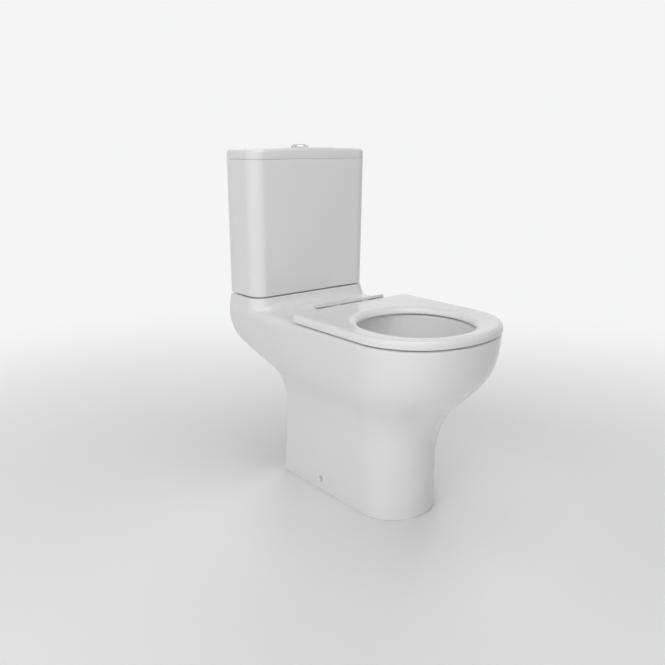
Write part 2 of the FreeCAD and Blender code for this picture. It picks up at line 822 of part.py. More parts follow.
def make_lid():
    """Lid with rounded top edges, a hollow underside, a locating lip and the push button's hole."""
    half_width, front = size.cistern_top_width / 2, size.wall_y - size.cistern_top_reach
    radius = size.cistern_corner_radius

    def slab(inset, bottom, height):
        wire = tank_wire(bottom, half_width - inset, front + inset, radius - inset, size.wall_y - inset)
        return Part.Face(wire).extrude(Vector(0, 0, height))

    cover = slab(0, size.lid_base, size.lid_height)
    rounded = [
        edge for edge in cover.Edges
        if edge.CenterOfMass.z > size.lid_top - ON_FACE and edge.CenterOfMass.y < size.wall_y - ON_FACE
    ]
    cover = cover.makeFillet(size.lid_rounding, rounded)
    lip_outer = size.cistern_wall + size.lip_clearance
    lip_inner = lip_outer + size.lip_thickness
    lip_base = size.lid_base - size.lip_depth
    lip = slab(lip_outer, lip_base, size.lip_depth + size.lid_thickness)
    hollow = slab(lip_inner, lip_base, size.lid_underside - lip_base)
    hole = upright(size.button_hole, 0, size.valve_y, size.lid_base, size.lid_top + size.lid_height)
    return cover.fuse(lip).cut([hollow, hole]).removeSplitter()


moulded("cistern", make_cistern())
moulded("cistern_lid", make_lid())

# Coupling of cistern and pan: pads, bolts, washers and wing nuts on each side

for side, sign in SIDES:
    pad_x = f"{sign} * (shelf_width / 2 - pad_inset)"
    pad = block("pad_width", "pad_depth", "pad_thickness", pad_x, "valve_y", "shelf_top")
    if sign > 0:
        spare = cylinder("fill_access_hole", "pad_thickness", "fill_offset", "valve_y", "shelf_top")
        pad = cut(pad, spare)
    sub_part(f"cistern_pad_{side}", pad)
    bolt_at = (f"{sign} * bolt_spacing / 2", "bolt_y")
    bolt_hole = "bolt_diameter + 2 * thread_clearance"
    seal = ring(
        f"bolt_seal_{side}", "bolt_seal_diameter", bolt_hole, "bolt_seal_thickness",
        *bolt_at, "cistern_inside")
    sub_part(f"bolt_seal_{side}", seal)
    head_base = "cistern_inside + bolt_seal_thickness"
    shank_base = "shelf_underside - bolt_washer_thickness - bolt_tail"
    shank = cylinder("bolt_diameter", f"{head_base} - ({shank_base})", *bolt_at, shank_base)
    head = hex_prism("bolt_head_width", "bolt_head_height", *bolt_at, head_base)
    sub_part(f"coupling_bolt_{side}", fused(shank, head))
    washer_base = "shelf_underside - bolt_washer_thickness"
    washer = ring(
        f"bolt_washer_{side}", "bolt_washer_diameter", bolt_hole, "bolt_washer_thickness",
        *bolt_at, washer_base)
    sub_part(f"bolt_washer_{side}", washer)
    nut_base = f"{washer_base} - wing_nut_height"
    hub = cylinder("wing_nut_hub", "wing_nut_height", *bolt_at, nut_base)
    wings = block("wing_span", "wing_thickness", "wing_nut_height", *bolt_at, nut_base)
    bore = cylinder(bolt_hole, "wing_nut_height", *bolt_at, nut_base)
    sub_part(f"wing_nut_{side}", cut(fused(hub, wings), bore))

# Flush valve: body, seals, nut, tower, plunger and half-flush float

tail_hole = "tail_diameter + 2 * seal_clearance"
sub_part("flush_valve_washer", ring(
    "flush_valve_washer", "flange_diameter", tail_hole, "valve_washer_thickness",
    "0", "valve_y", "cistern_inside"))

back_nut_base = "cistern_base - back_nut_height"
nut = hex_prism("back_nut_width", "back_nut_height", "0", "valve_y", back_nut_base)
nut_bore = cylinder(
    "tail_diameter + 2 * thread_clearance", "back_nut_height", "0", "valve_y", back_nut_base)
sub_part("flush_back_nut", cut(nut, nut_bore))

sub_part("doughnut_seal", ring(
    "doughnut_seal", "inlet_diameter - 2 * seal_clearance", tail_hole,
    f"{back_nut_base} - inlet_floor", "0", "valve_y", "inlet_floor"))

tail_base = "cistern_base - tail_length"
flange_low, flange_high = f"valve_flange - ({tail_base})", f"valve_seat - ({tail_base})"
cage_inner = "tail_bore / 2 + seal_lap + cage_clearance"
cage_outer = f"{cage_inner} + cage_wall"
guide_bore = "plunger_diameter / 2 + slide_clearance"
cage_low, cage_high = f"{flange_high} + cage_height", f"{flange_high} + cage_height + cage_roof"
valve_body = turned("flush_valve_body_turned", [
    ("tail_bore / 2", "0"), ("tail_diameter / 2", "0"), ("tail_diameter / 2", flange_low),
    ("flange_diameter / 2", flange_low), ("flange_diameter / 2", flange_high), (cage_outer, flange_high),
    (cage_outer, cage_high), (guide_bore, cage_high), (guide_bore, cage_low), (cage_inner, cage_low),
    (cage_inner, flange_high), ("tail_bore / 2", flange_high),
], "0", "valve_y", tail_base)
window_base = "valve_seat + window_sill"
windows = [
    block("flange_diameter", "window_width", "window_height", "0", "valve_y", window_base),
    block("window_width", "flange_diameter", "window_height", "0", "valve_y", window_base),
]
sub_part("flush_valve_body", cut(valve_body, *windows))

foot_diameter = "tail_bore + 2 * seal_lap"
sub_part("flush_seal", ring(
    "flush_seal", foot_diameter, "plunger_diameter - 2 * plunger_wall", "seal_thickness",
    "0", "valve_y", "valve_seat"))

plunger_tube = turned("flush_plunger_turned", [
    ("plunger_diameter / 2 - plunger_wall", "0"), (f"({foot_diameter}) / 2", "0"),
    (f"({foot_diameter}) / 2", "plunger_foot"), ("plunger_diameter / 2", "plunger_foot"),
    ("plunger_diameter / 2", "plunger_top"), ("plunger_diameter / 2 - plunger_wall", "plunger_top"),
], "0", "valve_y", "plunger_base")


def lift_link(sign, base):
    """Arm, upright and finger by which a lever lifts what rides on the plunger's tube."""
    reach = "link_offset + link_width"
    arm = block(reach, "link_depth", "collar_height", f"{sign} * ({reach}) / 2", "valve_y", base)
    stem_x = f"{sign} * (link_offset + link_width / 2)"
    finger_base = "lever_top + contact_gap"
    stem_height = f"{finger_base} + link_width - ({base})"
    stem = block("link_width", "link_depth", stem_height, stem_x, "valve_y", base)
    finger_length = f"{reach} - lift_offset + link_width / 2"
    finger_x = f"{sign} * ({reach} - ({finger_length}) / 2)"
    finger = block(finger_length, "link_depth", "link_width", finger_x, "valve_y", finger_base)
    return fused(arm, stem, finger)


float_ring_base = "cage_top + tower_base_thickness + slide_clearance"
collar_base = f"{float_ring_base} + float_ring_height + collar_gap"
collar = cylinder("collar_diameter", "collar_height", "0", "valve_y", collar_base)
tube_space = cylinder("plunger_diameter", "collar_height", "0", "valve_y", collar_base)
sub_part("flush_plunger", fused(plunger_tube, cut(fused(collar, lift_link(1, collar_base)), tube_space)))

float_arm_base = f"{float_ring_base} + float_ring_height - collar_height"
float_ring = cylinder("float_ring_diameter", "float_ring_height", "0", "valve_y", float_ring_base)
float_bore = cylinder(
    "plunger_diameter + 2 * slide_clearance", "float_ring_height", "0", "valve_y", float_ring_base)
sub_part("half_flush_float", cut(fused(float_ring, lift_link(-1, float_arm_base)), float_bore))

tower_pieces = [
    cylinder(f"2 * ({cage_outer})", "tower_base_thickness", "0", "valve_y", "cage_top"),
    block(
        "tower_plate_width", "tower_plate_depth", "tower_plate_thickness",
        "0", "valve_y", "tower_plate"),
]
for _, sign in SIDES:
    column_y = f"valve_y + {sign} * tower_column_spacing / 2"
    column = cylinder("tower_column_diameter", "tower_plate - cage_top", "0", column_y, "cage_top")
    column_foot = block(
        "tower_column_diameter", "tower_column_diameter", "tower_base_thickness",
        "0", column_y, "cage_top")
    tower_pieces += [column, column_foot]
ear_y = "(lever_width + ear_thickness) / 2 + ear_clearance"
ear_height = "lever_height + lever_pin_diameter"
for _, flush_sign in FLUSHES:
    for _, sign in SIDES:
        tower_pieces.append(block(
            "ear_length", "ear_thickness", ear_height,
            f"{flush_sign} * pivot_offset", f"valve_y + {sign} * ({ear_y})", "tower_plate_top"))
pin_holes = [
    cross_cylinder(
        "lever_pin_diameter", "tower_plate_depth", f"{sign} * pivot_offset", "valve_y", "lever_axis", "Y")
    for _, sign in FLUSHES
]
tower_bore = cylinder(f"2 * ({guide_bore})", "tower_base_thickness", "0", "valve_y", "cage_top")
tower_eye = cylinder("tower_eye_diameter", "tower_plate_thickness", "0", "valve_y", "tower_plate")
sub_part("flush_valve_tower", cut(fused(*tower_pieces), tower_bore, tower_eye, *pin_holes))

# Flush levers, pins, buttons, push rods and springs, one set for each flush

lever_length = "lift_offset - rod_offset + 2 * lever_overrun"
lever_base = "lever_axis - lever_thickness / 2"
pin_length = "lever_width + 2 * ear_thickness + 2 * ear_clearance"
rod_base = "lever_top + contact_gap"
for flush, sign in FLUSHES:
    lever_x = f"{sign} * (lift_offset + rod_offset) / 2"
    bar = block(lever_length, "lever_width", "lever_thickness", lever_x, "valve_y", lever_base)
    pivot_x = f"{sign} * pivot_offset"
    pivot_boss = cross_cylinder(
        "lever_pin_diameter + lever_thickness", "lever_width", pivot_x, "valve_y", "lever_axis", "Y")
    pivot_bore = cross_cylinder(
        "lever_pin_diameter + 2 * pin_clearance", "lever_width", pivot_x, "valve_y", "lever_axis", "Y")
    sub_part(f"lever_{flush}", cut(fused(bar, pivot_boss), pivot_bore))
    pin = cross_cylinder("lever_pin_diameter", pin_length, pivot_x, "valve_y", "lever_axis", "Y")
    sub_part(f"lever_pin_{flush}", pin)

    disc_diameter = "2 * (sleeve_bore_radius - button_clearance)"
    disc = cylinder(disc_diameter, "button_thickness", "0", "valve_y", "button_base")
    half = block(
        "button_hole", "button_hole", "button_thickness",
        f"{sign} * (button_hole + button_split) / 2", "valve_y", "button_base")
    button = doc.addObject("Part::Common", "Common")
    button.Base = disc
    button.Tool = half
    sub_part(f"button_{flush}", button)

    rod_at = (f"{sign} * rod_offset", "valve_y")
    tip_radius = "push_rod_diameter / 2"
    tip_centre = f"{rod_base} + {tip_radius}"
    stem = cylinder("push_rod_diameter", f"button_base - ({tip_centre})", *rod_at, tip_centre)
    tip = bind(doc.addObject("Part::Sphere", "Tip"), Radius=tip_radius)
    place(tip, *rod_at, tip_centre)
    sub_part(f"push_rod_{flush}", fused(stem, tip))

    spring = ring(
        f"button_spring_{flush}", "spring_diameter", "spring_diameter - 2 * spring_wall",
        "button_base - guide_top", *rod_at, "guide_top")
    sub_part(f"button_spring_{flush}", spring)

sub_part("button_bezel", turned("button_bezel", [
    ("sleeve_bore_radius", "0"), ("sleeve_radius", "0"), ("sleeve_radius", "sleeve_length"),
    ("bezel_diameter / 2", "sleeve_length"), ("bezel_diameter / 2", "sleeve_length + bezel_height / 2"),
    ("bezel_diameter / 2 - bezel_height / 2", "sleeve_length + bezel_height"),
    ("sleeve_bore_radius", "sleeve_length + bezel_height"),
], "0", "valve_y", "sleeve_base"))
sub_part("button_nut", ring(
    "button_nut", "button_nut_diameter", "2 * (sleeve_radius + thread_clearance)", "button_nut_height",
    "0", "valve_y", "lid_underside - button_nut_height"))
guide_diameter = "2 * (sleeve_bore_radius - thread_clearance)"
guide_disc = cylinder(guide_diameter, "guide_thickness", "0", "valve_y", "sleeve_base")
guide_hole = "push_rod_diameter + 2 * slide_clearance"
guide_holes = [
    cylinder(guide_hole, "guide_thickness", f"{sign} * rod_offset", "valve_y", "sleeve_base")
    for _, sign in FLUSHES
]
sub_part("button_guide", cut(guide_disc, *guide_holes))

# Fill valve: body, cap, seals, nut, float with its rod, and the arm that the rod lifts

fill_at = ("fill_offset", "valve_y")
fill_tail_base = "cistern_base - fill_tail"
shank_low = "fill_tail - fill_nut_height - fill_hole_clearance"
flange_low, flange_high = f"fill_flange - ({fill_tail_base})", f"riser_base - ({fill_tail_base})"
head_low = f"fill_head - ({fill_tail_base})"
head_high = f"{head_low} + fill_head_height"
fill_body = turned("fill_valve_body_turned", [
    ("riser_bore / 2", "0"), ("fill_thread / 2", "0"), ("fill_thread / 2", shank_low),
    ("fill_shank / 2", shank_low), ("fill_shank / 2", flange_low),
    ("fill_flange_diameter / 2", flange_low), ("fill_flange_diameter / 2", flange_high),
    ("riser_diameter / 2", flange_high), ("riser_diameter / 2", head_low),
    ("fill_head_diameter / 2", head_low), ("fill_head_diameter / 2", head_high),
    ("riser_bore / 2", head_high),
], *fill_at, fill_tail_base)
arm_slot = block(
    "arm_reach + fill_head_diameter", "arm_width + 2 * ear_clearance", "fill_head_height",
    "fill_offset - (arm_reach + fill_head_diameter) / 2 + arm_width", "valve_y", "arm_axis - arm_width")
arm_pivot = (*fill_at, "arm_axis", "Y")
arm_hole = cross_cylinder("lever_pin_diameter", "fill_head_diameter", *arm_pivot)
sub_part("fill_valve_body", cut(fill_body, arm_slot, arm_hole))
cap_base = "fill_head + fill_head_height"
sub_part("fill_valve_cap", cylinder("fill_head_diameter", "fill_cap_height", *fill_at, cap_base))
sub_part("fill_valve_washer", ring(
    "fill_valve_washer", "fill_flange_diameter", "fill_shank + fill_hole_clearance",
    "fill_washer_thickness", *fill_at, "cistern_inside"))
fill_nut_base = "cistern_base - fill_nut_height"
fill_nut = hex_prism("fill_nut_width", "fill_nut_height", *fill_at, fill_nut_base)
fill_nut_bore = cylinder("fill_shank + 2 * thread_clearance", "fill_nut_height", *fill_at, fill_nut_base)
sub_part("fill_valve_nut", cut(fill_nut, fill_nut_bore))

rod_x = "fill_offset - arm_reach"
float_bore_radius = "riser_diameter / 2 + float_clearance"
sleeve_outer = f"{float_bore_radius} + float_wall"
shell_inner = "float_diameter / 2 - float_wall"
roof_low = "float_height - float_wall"
float_shell = turned("fill_float_turned", [
    (float_bore_radius, "0"), (sleeve_outer, "0"), (sleeve_outer, roof_low), (shell_inner, roof_low),
    (shell_inner, "0"), ("float_diameter / 2", "0"), ("float_diameter / 2", "float_height"),
    (float_bore_radius, "float_height"),
], *fill_at, "float_base")
lug_length = "arm_reach - float_diameter / 2 + float_rod_diameter + float_wall"
lug_x = f"{rod_x} - float_rod_diameter + ({lug_length}) / 2"
lug_base = "float_base + float_height - float_lug_thickness"
lug = block(lug_length, "2 * float_rod_diameter", "float_lug_thickness", lug_x, "valve_y", lug_base)
lug_bore = cylinder("float_rod_diameter", "float_lug_thickness", rod_x, "valve_y", lug_base)
sub_part("fill_float", cut(fused(float_shell, lug), lug_bore))
rod_length = f"arm_axis - arm_thickness / 2 - contact_gap - ({lug_base})"
sub_part("float_rod", cylinder("float_rod_diameter", rod_length, rod_x, "valve_y", lug_base))

arm_length = "arm_reach + float_rod_diameter"
arm_bar = block(
    arm_length, "arm_width", "arm_thickness",
    f"fill_offset - ({arm_length}) / 2", "valve_y", "arm_axis - arm_thickness / 2")
arm_boss = cross_cylinder("lever_pin_diameter + arm_thickness", "arm_width", *arm_pivot)
arm_bore = cross_cylinder("lever_pin_diameter + 2 * pin_clearance", "arm_width", *arm_pivot)
sub_part("fill_arm", cut(fused(arm_bar, arm_boss), arm_bore))
arm_pin = cross_cylinder("lever_pin_diameter", "fill_head_diameter - arm_thickness", *arm_pivot)
sub_part("fill_arm_pin", arm_pin)

# Seat ring with its hinge hooks, and its rubber buffers

HOOK_FIRST_ANGLE = 115.0
HOOK_SWEEP = 200.0


def seat_hook(x):
    """Hook under and behind the bar: part of a sleeve, open to the front and top."""
    inner = size.bar_diameter / 2 + size.bar_clearance
    start = Vector(x - size.hook_width / 2, size.bar_y, size.bar_z)
    along = Vector(1, 0, 0)
    sleeve = Part.makeCylinder(inner + size.hook_wall, size.hook_width, start, along, HOOK_SWEEP)
    sleeve.rotate(start, along, HOOK_FIRST_ANGLE)
    return sleeve.cut(Part.makeCylinder(inner, size.hook_width, start, along))


def make_seat():
    """Flat ring with an arched front, an oval opening, rounded edges and two hooks at the back."""
    outline = arched_wire(
        size.seat_base, size.seat_width / 2, size.seat_front_y, size.seat_front_radius,
        size.seat_corner_radius, size.seat_back_y, size.seat_back_corner)
    slab = Part.Face(outline).extrude(Vector(0, 0, size.seat_thickness))
    centre = Vector(0, size.opening_y, size.seat_base)
    opening = Part.Face(oval(centre, size.opening_width / 2, size.opening_length / 2))
    slab = slab.cut(opening.extrude(Vector(0, 0, size.seat_thickness)))
    top_edges = [edge for edge in slab.Edges if edge.BoundBox.ZMin > size.seat_top - ON_FACE]
    slab = slab.makeFillet(size.seat_rounding, top_edges)
    low_edges = [edge for edge in slab.Edges if edge.BoundBox.ZMax < size.seat_base + ON_FACE]
    slab = slab.makeFillet(size.seat_edge_break, low_edges)
    hooks = [seat_hook(sign * size.hook_spacing / 2) for _, sign in SIDES]
    return slab.multiFuse(hooks)


moulded("seat_ring", make_seat())
for end in ("rear", "front"):
    for side, sign in SIDES:
        buffer_at = (f"{sign} * buffer_{end}_x", f"buffer_{end}_y")
        foot = cylinder("buffer_diameter", "seat_gap", *buffer_at, "rim_height")
        sub_part(f"seat_buffer_{end}_{side}", foot)

# Hinge: bar on two posts that are clamped through the deck

bar = cross_cylinder("bar_diameter", "bar_length", "0", "bar_y", "bar_z", "X")
bar_low = "bar_z - bar_diameter / 2"
socket_base = "bar_z - bar_diameter"
socket_length = f"{bar_low} + post_spigot_length - ({socket_base})"
sockets = [
    cylinder("post_spigot_diameter", socket_length, f"{sign} * post_spacing / 2", "bar_y", socket_base)
    for _, sign in SIDES
]
sub_part("hinge_bar", cut(bar, *sockets))
flange_base = "rim_height + gasket_thickness"
post_base = "deck_underside - post_tail"
for side, sign in SIDES:
    post_at = (f"{sign} * post_spacing / 2", "bar_y")
    stud = cylinder("post_diameter", f"{bar_low} - ({post_base})", *post_at, post_base)
    flange = cylinder("post_flange_diameter", "post_flange_thickness", *post_at, flange_base)
    spigot = cylinder("post_spigot_diameter", "post_spigot_length", *post_at, bar_low)
    sub_part(f"hinge_post_{side}", fused(stud, flange, spigot))
    gasket = ring(
        f"post_gasket_{side}", "post_flange_diameter", "post_diameter + bar_clearance",
        "gasket_thickness", *post_at, "rim_height")
    sub_part(f"post_gasket_{side}", gasket)
    post_nut = ring(
        f"post_nut_{side}", "post_nut_diameter", "post_diameter + 2 * thread_clearance",
        "post_nut_height", *post_at, "deck_underside - post_nut_height")
    sub_part(f"post_nut_{side}", post_nut)

# Check and write every sub-part

doc.recompute()
for item in doc.Objects:
    if "Invalid" in item.State or "Error" in item.State:
        raise RuntimeError(f"{item.Label} did not compute")
for item in sub_parts:
    if item.Shape.isNull() or not item.Shape.isValid():
        raise RuntimeError(f"{item.Label} has no valid shape")
os.makedirs("parts", exist_ok=True)
for item in sub_parts:
    item.Shape.exportStep(f"parts/{item.Label}.step")
    box = item.Shape.BoundBox
    print(
        f"{item.Label:22s} solids {len(item.Shape.Solids)} volume {item.Shape.Volume / 1000:10.2f} cm3 "
        f"z {box.ZMin:7.1f} to {box.ZMax:7.1f}")
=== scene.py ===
import json

import bmesh
import bpy
import numpy as np
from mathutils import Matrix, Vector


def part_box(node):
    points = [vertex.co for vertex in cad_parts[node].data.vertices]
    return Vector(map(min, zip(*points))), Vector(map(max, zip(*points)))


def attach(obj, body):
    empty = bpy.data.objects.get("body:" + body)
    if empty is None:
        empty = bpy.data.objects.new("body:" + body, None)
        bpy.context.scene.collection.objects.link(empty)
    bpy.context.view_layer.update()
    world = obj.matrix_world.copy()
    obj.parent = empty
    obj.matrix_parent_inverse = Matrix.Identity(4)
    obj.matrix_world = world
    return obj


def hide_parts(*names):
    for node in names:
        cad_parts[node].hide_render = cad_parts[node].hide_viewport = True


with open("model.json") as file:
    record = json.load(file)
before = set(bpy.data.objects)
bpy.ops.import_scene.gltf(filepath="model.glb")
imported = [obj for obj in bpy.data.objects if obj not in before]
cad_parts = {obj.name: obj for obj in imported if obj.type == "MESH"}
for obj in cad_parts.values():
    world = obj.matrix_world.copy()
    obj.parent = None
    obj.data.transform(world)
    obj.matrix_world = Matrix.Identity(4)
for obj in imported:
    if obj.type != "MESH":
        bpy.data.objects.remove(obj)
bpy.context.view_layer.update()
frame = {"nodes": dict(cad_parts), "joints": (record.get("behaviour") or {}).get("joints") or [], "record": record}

# Glaze: the pan, the cistern and its lid are slip-cast vitreous china, sprayed with white glaze and
# fired together, which leaves a hard gloss with a faint orange-peel ripple.

CHINA = (0.87, 0.87, 0.862, 1)
COOL_CHINA = (0.85695, 0.85956, 0.85769, 1)


def new_finish(name):
    """A new material, with its node tree, its Principled shader and its object coordinates."""
    material = bpy.data.materials.new(name)
    material.use_nodes = True
    tree = material.node_tree
    place = tree.nodes.new("ShaderNodeTexCoord")
    return material, tree, tree.nodes["Principled BSDF"], place.outputs["Object"]


def noise_share(tree, place, scale, detail, low, high):
    """A cloudy pattern with about so many lumps a metre, its usual range spread from low to high."""
    noise = tree.nodes.new("ShaderNodeTexNoise")
    noise.inputs["Scale"].default_value = scale
    noise.inputs["Detail"].default_value = detail
    tree.links.new(place, noise.inputs["Vector"])
    spread = tree.nodes.new("ShaderNodeMapRange")
    spread.inputs["From Min"].default_value = 0.3
    spread.inputs["From Max"].default_value = 0.7
    spread.inputs["To Min"].default_value = low
    spread.inputs["To Max"].default_value = high
    tree.links.new(noise.outputs["Fac"], spread.inputs["Value"])
    return spread.outputs["Result"]


def tinted(tree, share, one, other):
    """A colour that goes from one to the other with the share."""
    mix = tree.nodes.new("ShaderNodeMix")
    mix.data_type = "RGBA"
    mix.inputs["A"].default_value = one
    mix.inputs["B"].default_value = other
    tree.links.new(share, mix.inputs["Factor"])
    return mix.outputs["Result"]


def rippled(tree, shader, height, strength, depth):
    """Bumps of that depth, in metres, on the shader's surface."""
    bump = tree.nodes.new("ShaderNodeBump")
    bump.inputs["Strength"].default_value = strength
    bump.inputs["Distance"].default_value = depth
    tree.links.new(height, bump.inputs["Height"])
    tree.links.new(bump.outputs["Normal"], shader.inputs["Normal"])


def mottled_finish(name, one, other, drift, roughness, ripple):
    """A finish that varies as a real surface does, and its shader: the colour drifts from one to the other,
    the roughness from low to high, and the surface ripples. Each pattern starts with its lumps a metre and
    its detail; roughness then gives its low and high, ripple its strength and its depth in metres."""
    material, tree, shader, place = new_finish(name)
    colour = tinted(tree, noise_share(tree, place, *drift, 0, 1), one, other)
    tree.links.new(colour, shader.inputs["Base Color"])
    tree.links.new(noise_share(tree, place, *roughness), shader.inputs["Roughness"])
    lumps, detail, strength, depth = ripple
    rippled(tree, shader, noise_share(tree, place, lumps, detail, 0, 1), strength, depth)
    return material, shader


china, shader = mottled_finish(
    "white_glaze", CHINA, COOL_CHINA,
    drift=(9, 2), roughness=(40, 3, 0.1, 0.16), ripple=(55, 2, 0.12, 0.0004))
shader.inputs["IOR"].default_value = 1.5
shader.inputs["Coat Weight"].default_value = 0.6
shader.inputs["Coat Roughness"].default_value = 0.03

# Pan: one hollow casting with a flared skirt, a foot with two fixing holes, a level deck with the
# bowl's mouth in it, and a raised shelf for the cistern. Its back is open, for the waste pipe.

MM = 0.001


def millimetres(metres):
    """Lengths or places of the frame in millimetres, to two places."""
    return np.round(np.array(metres) / MM, 2)


def mount(name):
    """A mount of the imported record: its place in millimetres and its sizes."""
    found = next(row for row in frame["record"]["mounts"] if row["name"] == name)
    return millimetres(found["pos_m"]), found["dims"]


# Sizes are in millimetres. A reach is measured forwards from the wall behind the toilet.
deck_low, deck_high = millimetres(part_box("pan_deck"))
WALL_Y, DECK_BELOW, SHELF_TOP = deck_high[1], deck_low[2], deck_high[2]
SHELF_BELOW = millimetres(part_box("pan_inlet"))[1, 2]
RIM, RIM_BASE = 425.0, 405.0
FOOT_HALF_WIDTH, FOOT_REACH, FOOT_FRONT_R, FOOT_SIDE_R = 98.5, 507.0, 108.0, 90.0
RIM_HALF_WIDTH, RIM_REACH, RIM_FRONT_R, RIM_SIDE_R = 183.0, 658.0, 242.0, 155.0
FLARE_Z, FLARE_SLACK = 273.0, 37.0
SHELF_HALF_WIDTH, SHELF_SPACE = 176.5, 166.5
FOOT_EDGE, BACK_ROUND, HOLE_PATCH = 2.0, 3.0, 10.0
SHARP_DEGREES = 40
(_, HOLE_Y, HOLE_Z), fixing = mount("floor_fixing_right")
HOLE_R, PAN_WALL = fixing["r_mm"], fixing["length_mm"]


def column(values):
    """Values as a column, so that each row of a grid takes its own."""
    return np.asarray(values, float).reshape(-1, 1)


def sheet_of(x, y, z):
    """Grid points from their coordinates, which are arrays or single numbers that fit together."""
    return np.stack(np.broadcast_arrays(x, y, z), axis=-1)


def both_sides(half):
    """A right half that starts on the plane X = 0, with its mirror image put before it."""
    mirror = half[:, :0:-1] * np.array([-1, 1, 1])
    return np.concatenate([mirror, half], axis=1)


def quads(points):
    """Corner numbers of the four-sided faces between neighbours of a grid."""
    rows, columns = points.shape[:2]
    at = np.arange(rows * columns).reshape(rows, columns)
    corners = (at[:-1, :-1], at[:-1, 1:], at[1:, 1:], at[1:, :-1])
    return np.stack(corners, axis=-1).reshape(-1, 4)


def make_piece(name, sheets, material):
    """One mesh from grids in millimetres: their faces joined, edges that meet welded, level openings that
    are left closed flat, all shaded smooth but where two faces turn by more than SHARP_DEGREES. A sheet
    may bring its own faces."""
    sheets = [s if isinstance(s, tuple) else (s, quads(s)) for s in sheets]
    starts = np.cumsum([0] + [points.shape[0] * points.shape[1] for points, _ in sheets])
    points = np.concatenate([points.reshape(-1, 3) for points, _ in sheets]) * MM
    faces = np.concatenate([part + start for (_, part), start in zip(sheets, starts)])
    mesh = bpy.data.meshes.new(name)
    mesh.from_pydata(points.tolist(), [], faces.tolist())
    joined = bmesh.new()
    joined.from_mesh(mesh)
    bmesh.ops.remove_doubles(joined, verts=joined.verts, dist=2e-6)
    bmesh.ops.dissolve_degenerate(joined, edges=joined.edges, dist=1e-6)
    bmesh.ops.holes_fill(joined, edges=[edge for edge in joined.edges if edge.is_boundary], sides=16)
    rim = [edge for edge in joined.edges if edge.is_boundary]
    bmesh.ops.triangle_fill(joined, edges=rim, use_beauty=True, normal=(0, 0, -1))
    bmesh.ops.recalc_face_normals(joined, faces=joined.faces)
    joined.to_mesh(mesh)
    joined.free()
    mesh.polygons.foreach_set("use_smooth", np.ones(len(mesh.polygons), bool))
    mesh.set_sharp_from_angle(angle=np.radians(SHARP_DEGREES))
    mesh.materials.append(material)
    piece = bpy.data.objects.new(name, mesh)
    bpy.context.scene.collection.objects.link(piece)
    return piece


def flare(z):
    """Share of the way from the foot's outline to the rim's: a logistic S-curve of the height."""
    def raw(height):
        return 1 / (1 + np.exp((FLARE_Z - height) / FLARE_SLACK))
    return (raw(z) - raw(0)) / (raw(RIM) - raw(0))


def flared(foot, rim, z):
    """A size at a height: the foot's, moved towards the rim's by the flare's share."""
    return foot + (rim - foot) * flare(z)


def skin_half_width(z):
    """Half the skin's width at a height, flared from the foot's to the rim's."""
    return flared(FOOT_HALF_WIDTH, RIM_HALF_WIDTH, z)


def skin_front(z):
    """Y of the skin's foremost point at a height: the wall less the flared reach."""
    return WALL_Y - flared(FOOT_REACH, RIM_REACH, z)


def arched_front(half_width, front, front_radius, corner_radius, steps):
    """Right half of an arched front from its middle to the straight side, and its outward normals:
    a wide arc about a point on the middle line, then a tighter arc, tangent to it and to the side."""
    corner_x = half_width - corner_radius
    arc_y = front + front_radius
    corner_y = arc_y - np.sqrt((front_radius - corner_radius) ** 2 - corner_x ** 2)
    meeting = np.arctan2(corner_y - arc_y, corner_x)
    share = np.linspace(0, 1, steps)
    wide = -np.pi / 2 + share * (meeting + np.pi / 2)
    tight = meeting * (1 - share[1:])
    turn = np.concatenate([wide, tight], axis=1)
    nx, ny = np.cos(turn), np.sin(turn)
    x = np.where(np.arange(turn.shape[1]) < steps, front_radius * nx, corner_x + corner_radius * nx)
    y = np.where(np.arange(turn.shape[1]) < steps, arc_y + front_radius * ny, corner_y + corner_radius * ny)
    return x, y, nx, ny


def rounded_path(corners, radii, steps):
    """Polyline through corners whose inner ones are replaced by arcs tangent to both runs."""
    corners, radii = np.asarray(corners, float), column(radii)
    before, after = corners[:-2] - corners[1:-1], corners[2:] - corners[1:-1]
    before /= np.linalg.norm(before, axis=1, keepdims=True)
    after /= np.linalg.norm(after, axis=1, keepdims=True)
    half = np.arccos(np.clip((before * after).sum(1, keepdims=True), -1, 1)) / 2
    bisector = before + after
    bisector /= np.linalg.norm(bisector, axis=1, keepdims=True)
    centres = corners[1:-1] + bisector * radii / np.sin(half)
    first = corners[1:-1] + before * radii / np.tan(half) - centres
    last = corners[1:-1] + after * radii / np.tan(half) - centres
    opening = (np.pi - 2 * half)[:, None]
    share = np.linspace(0, 1, steps).reshape(1, -1, 1)
    swing = np.sin((1 - share) * opening) * first[:, None] + np.sin(share * opening) * last[:, None]
    arcs = centres[:, None] + swing / np.sin(opening)
    return np.concatenate([corners[:1], arcs.reshape(-1, 2), corners[-1:]])


# Reach and height of the open back's edge, and the radii of its four bends
BACK_CURVE = rounded_path(
    [(117, -300), (117, 0), (130, 150), (166, 282), (0, 358), (0, 460)], (300, 300, 30, 75), 24)


def back_y(z):
    """Where the pan's open back ends at a height: the slack curve from the foot up to the shelf."""
    return WALL_Y - np.interp(z, BACK_CURVE[:, 1], BACK_CURVE[:, 0])


# Grid lines round the shelf's corner, from its front to its side: its hollow foot stands on the deck, then
# runs down the rim's rounding.
SHELF_CORNER_Y, SHELF_R, SHELF_HOLLOW, RIM_DROP = 250.0, 36.0, 25.0, RIM - RIM_BASE
ONTO_RIM = np.arccos(1 - RIM_DROP / (SHELF_R + SHELF_HOLLOW))
DECK_SWING = np.linspace(np.pi / 2, ONTO_RIM, 12, endpoint=False)
RIM_SWING = np.linspace(ONTO_RIM, 0, 13)

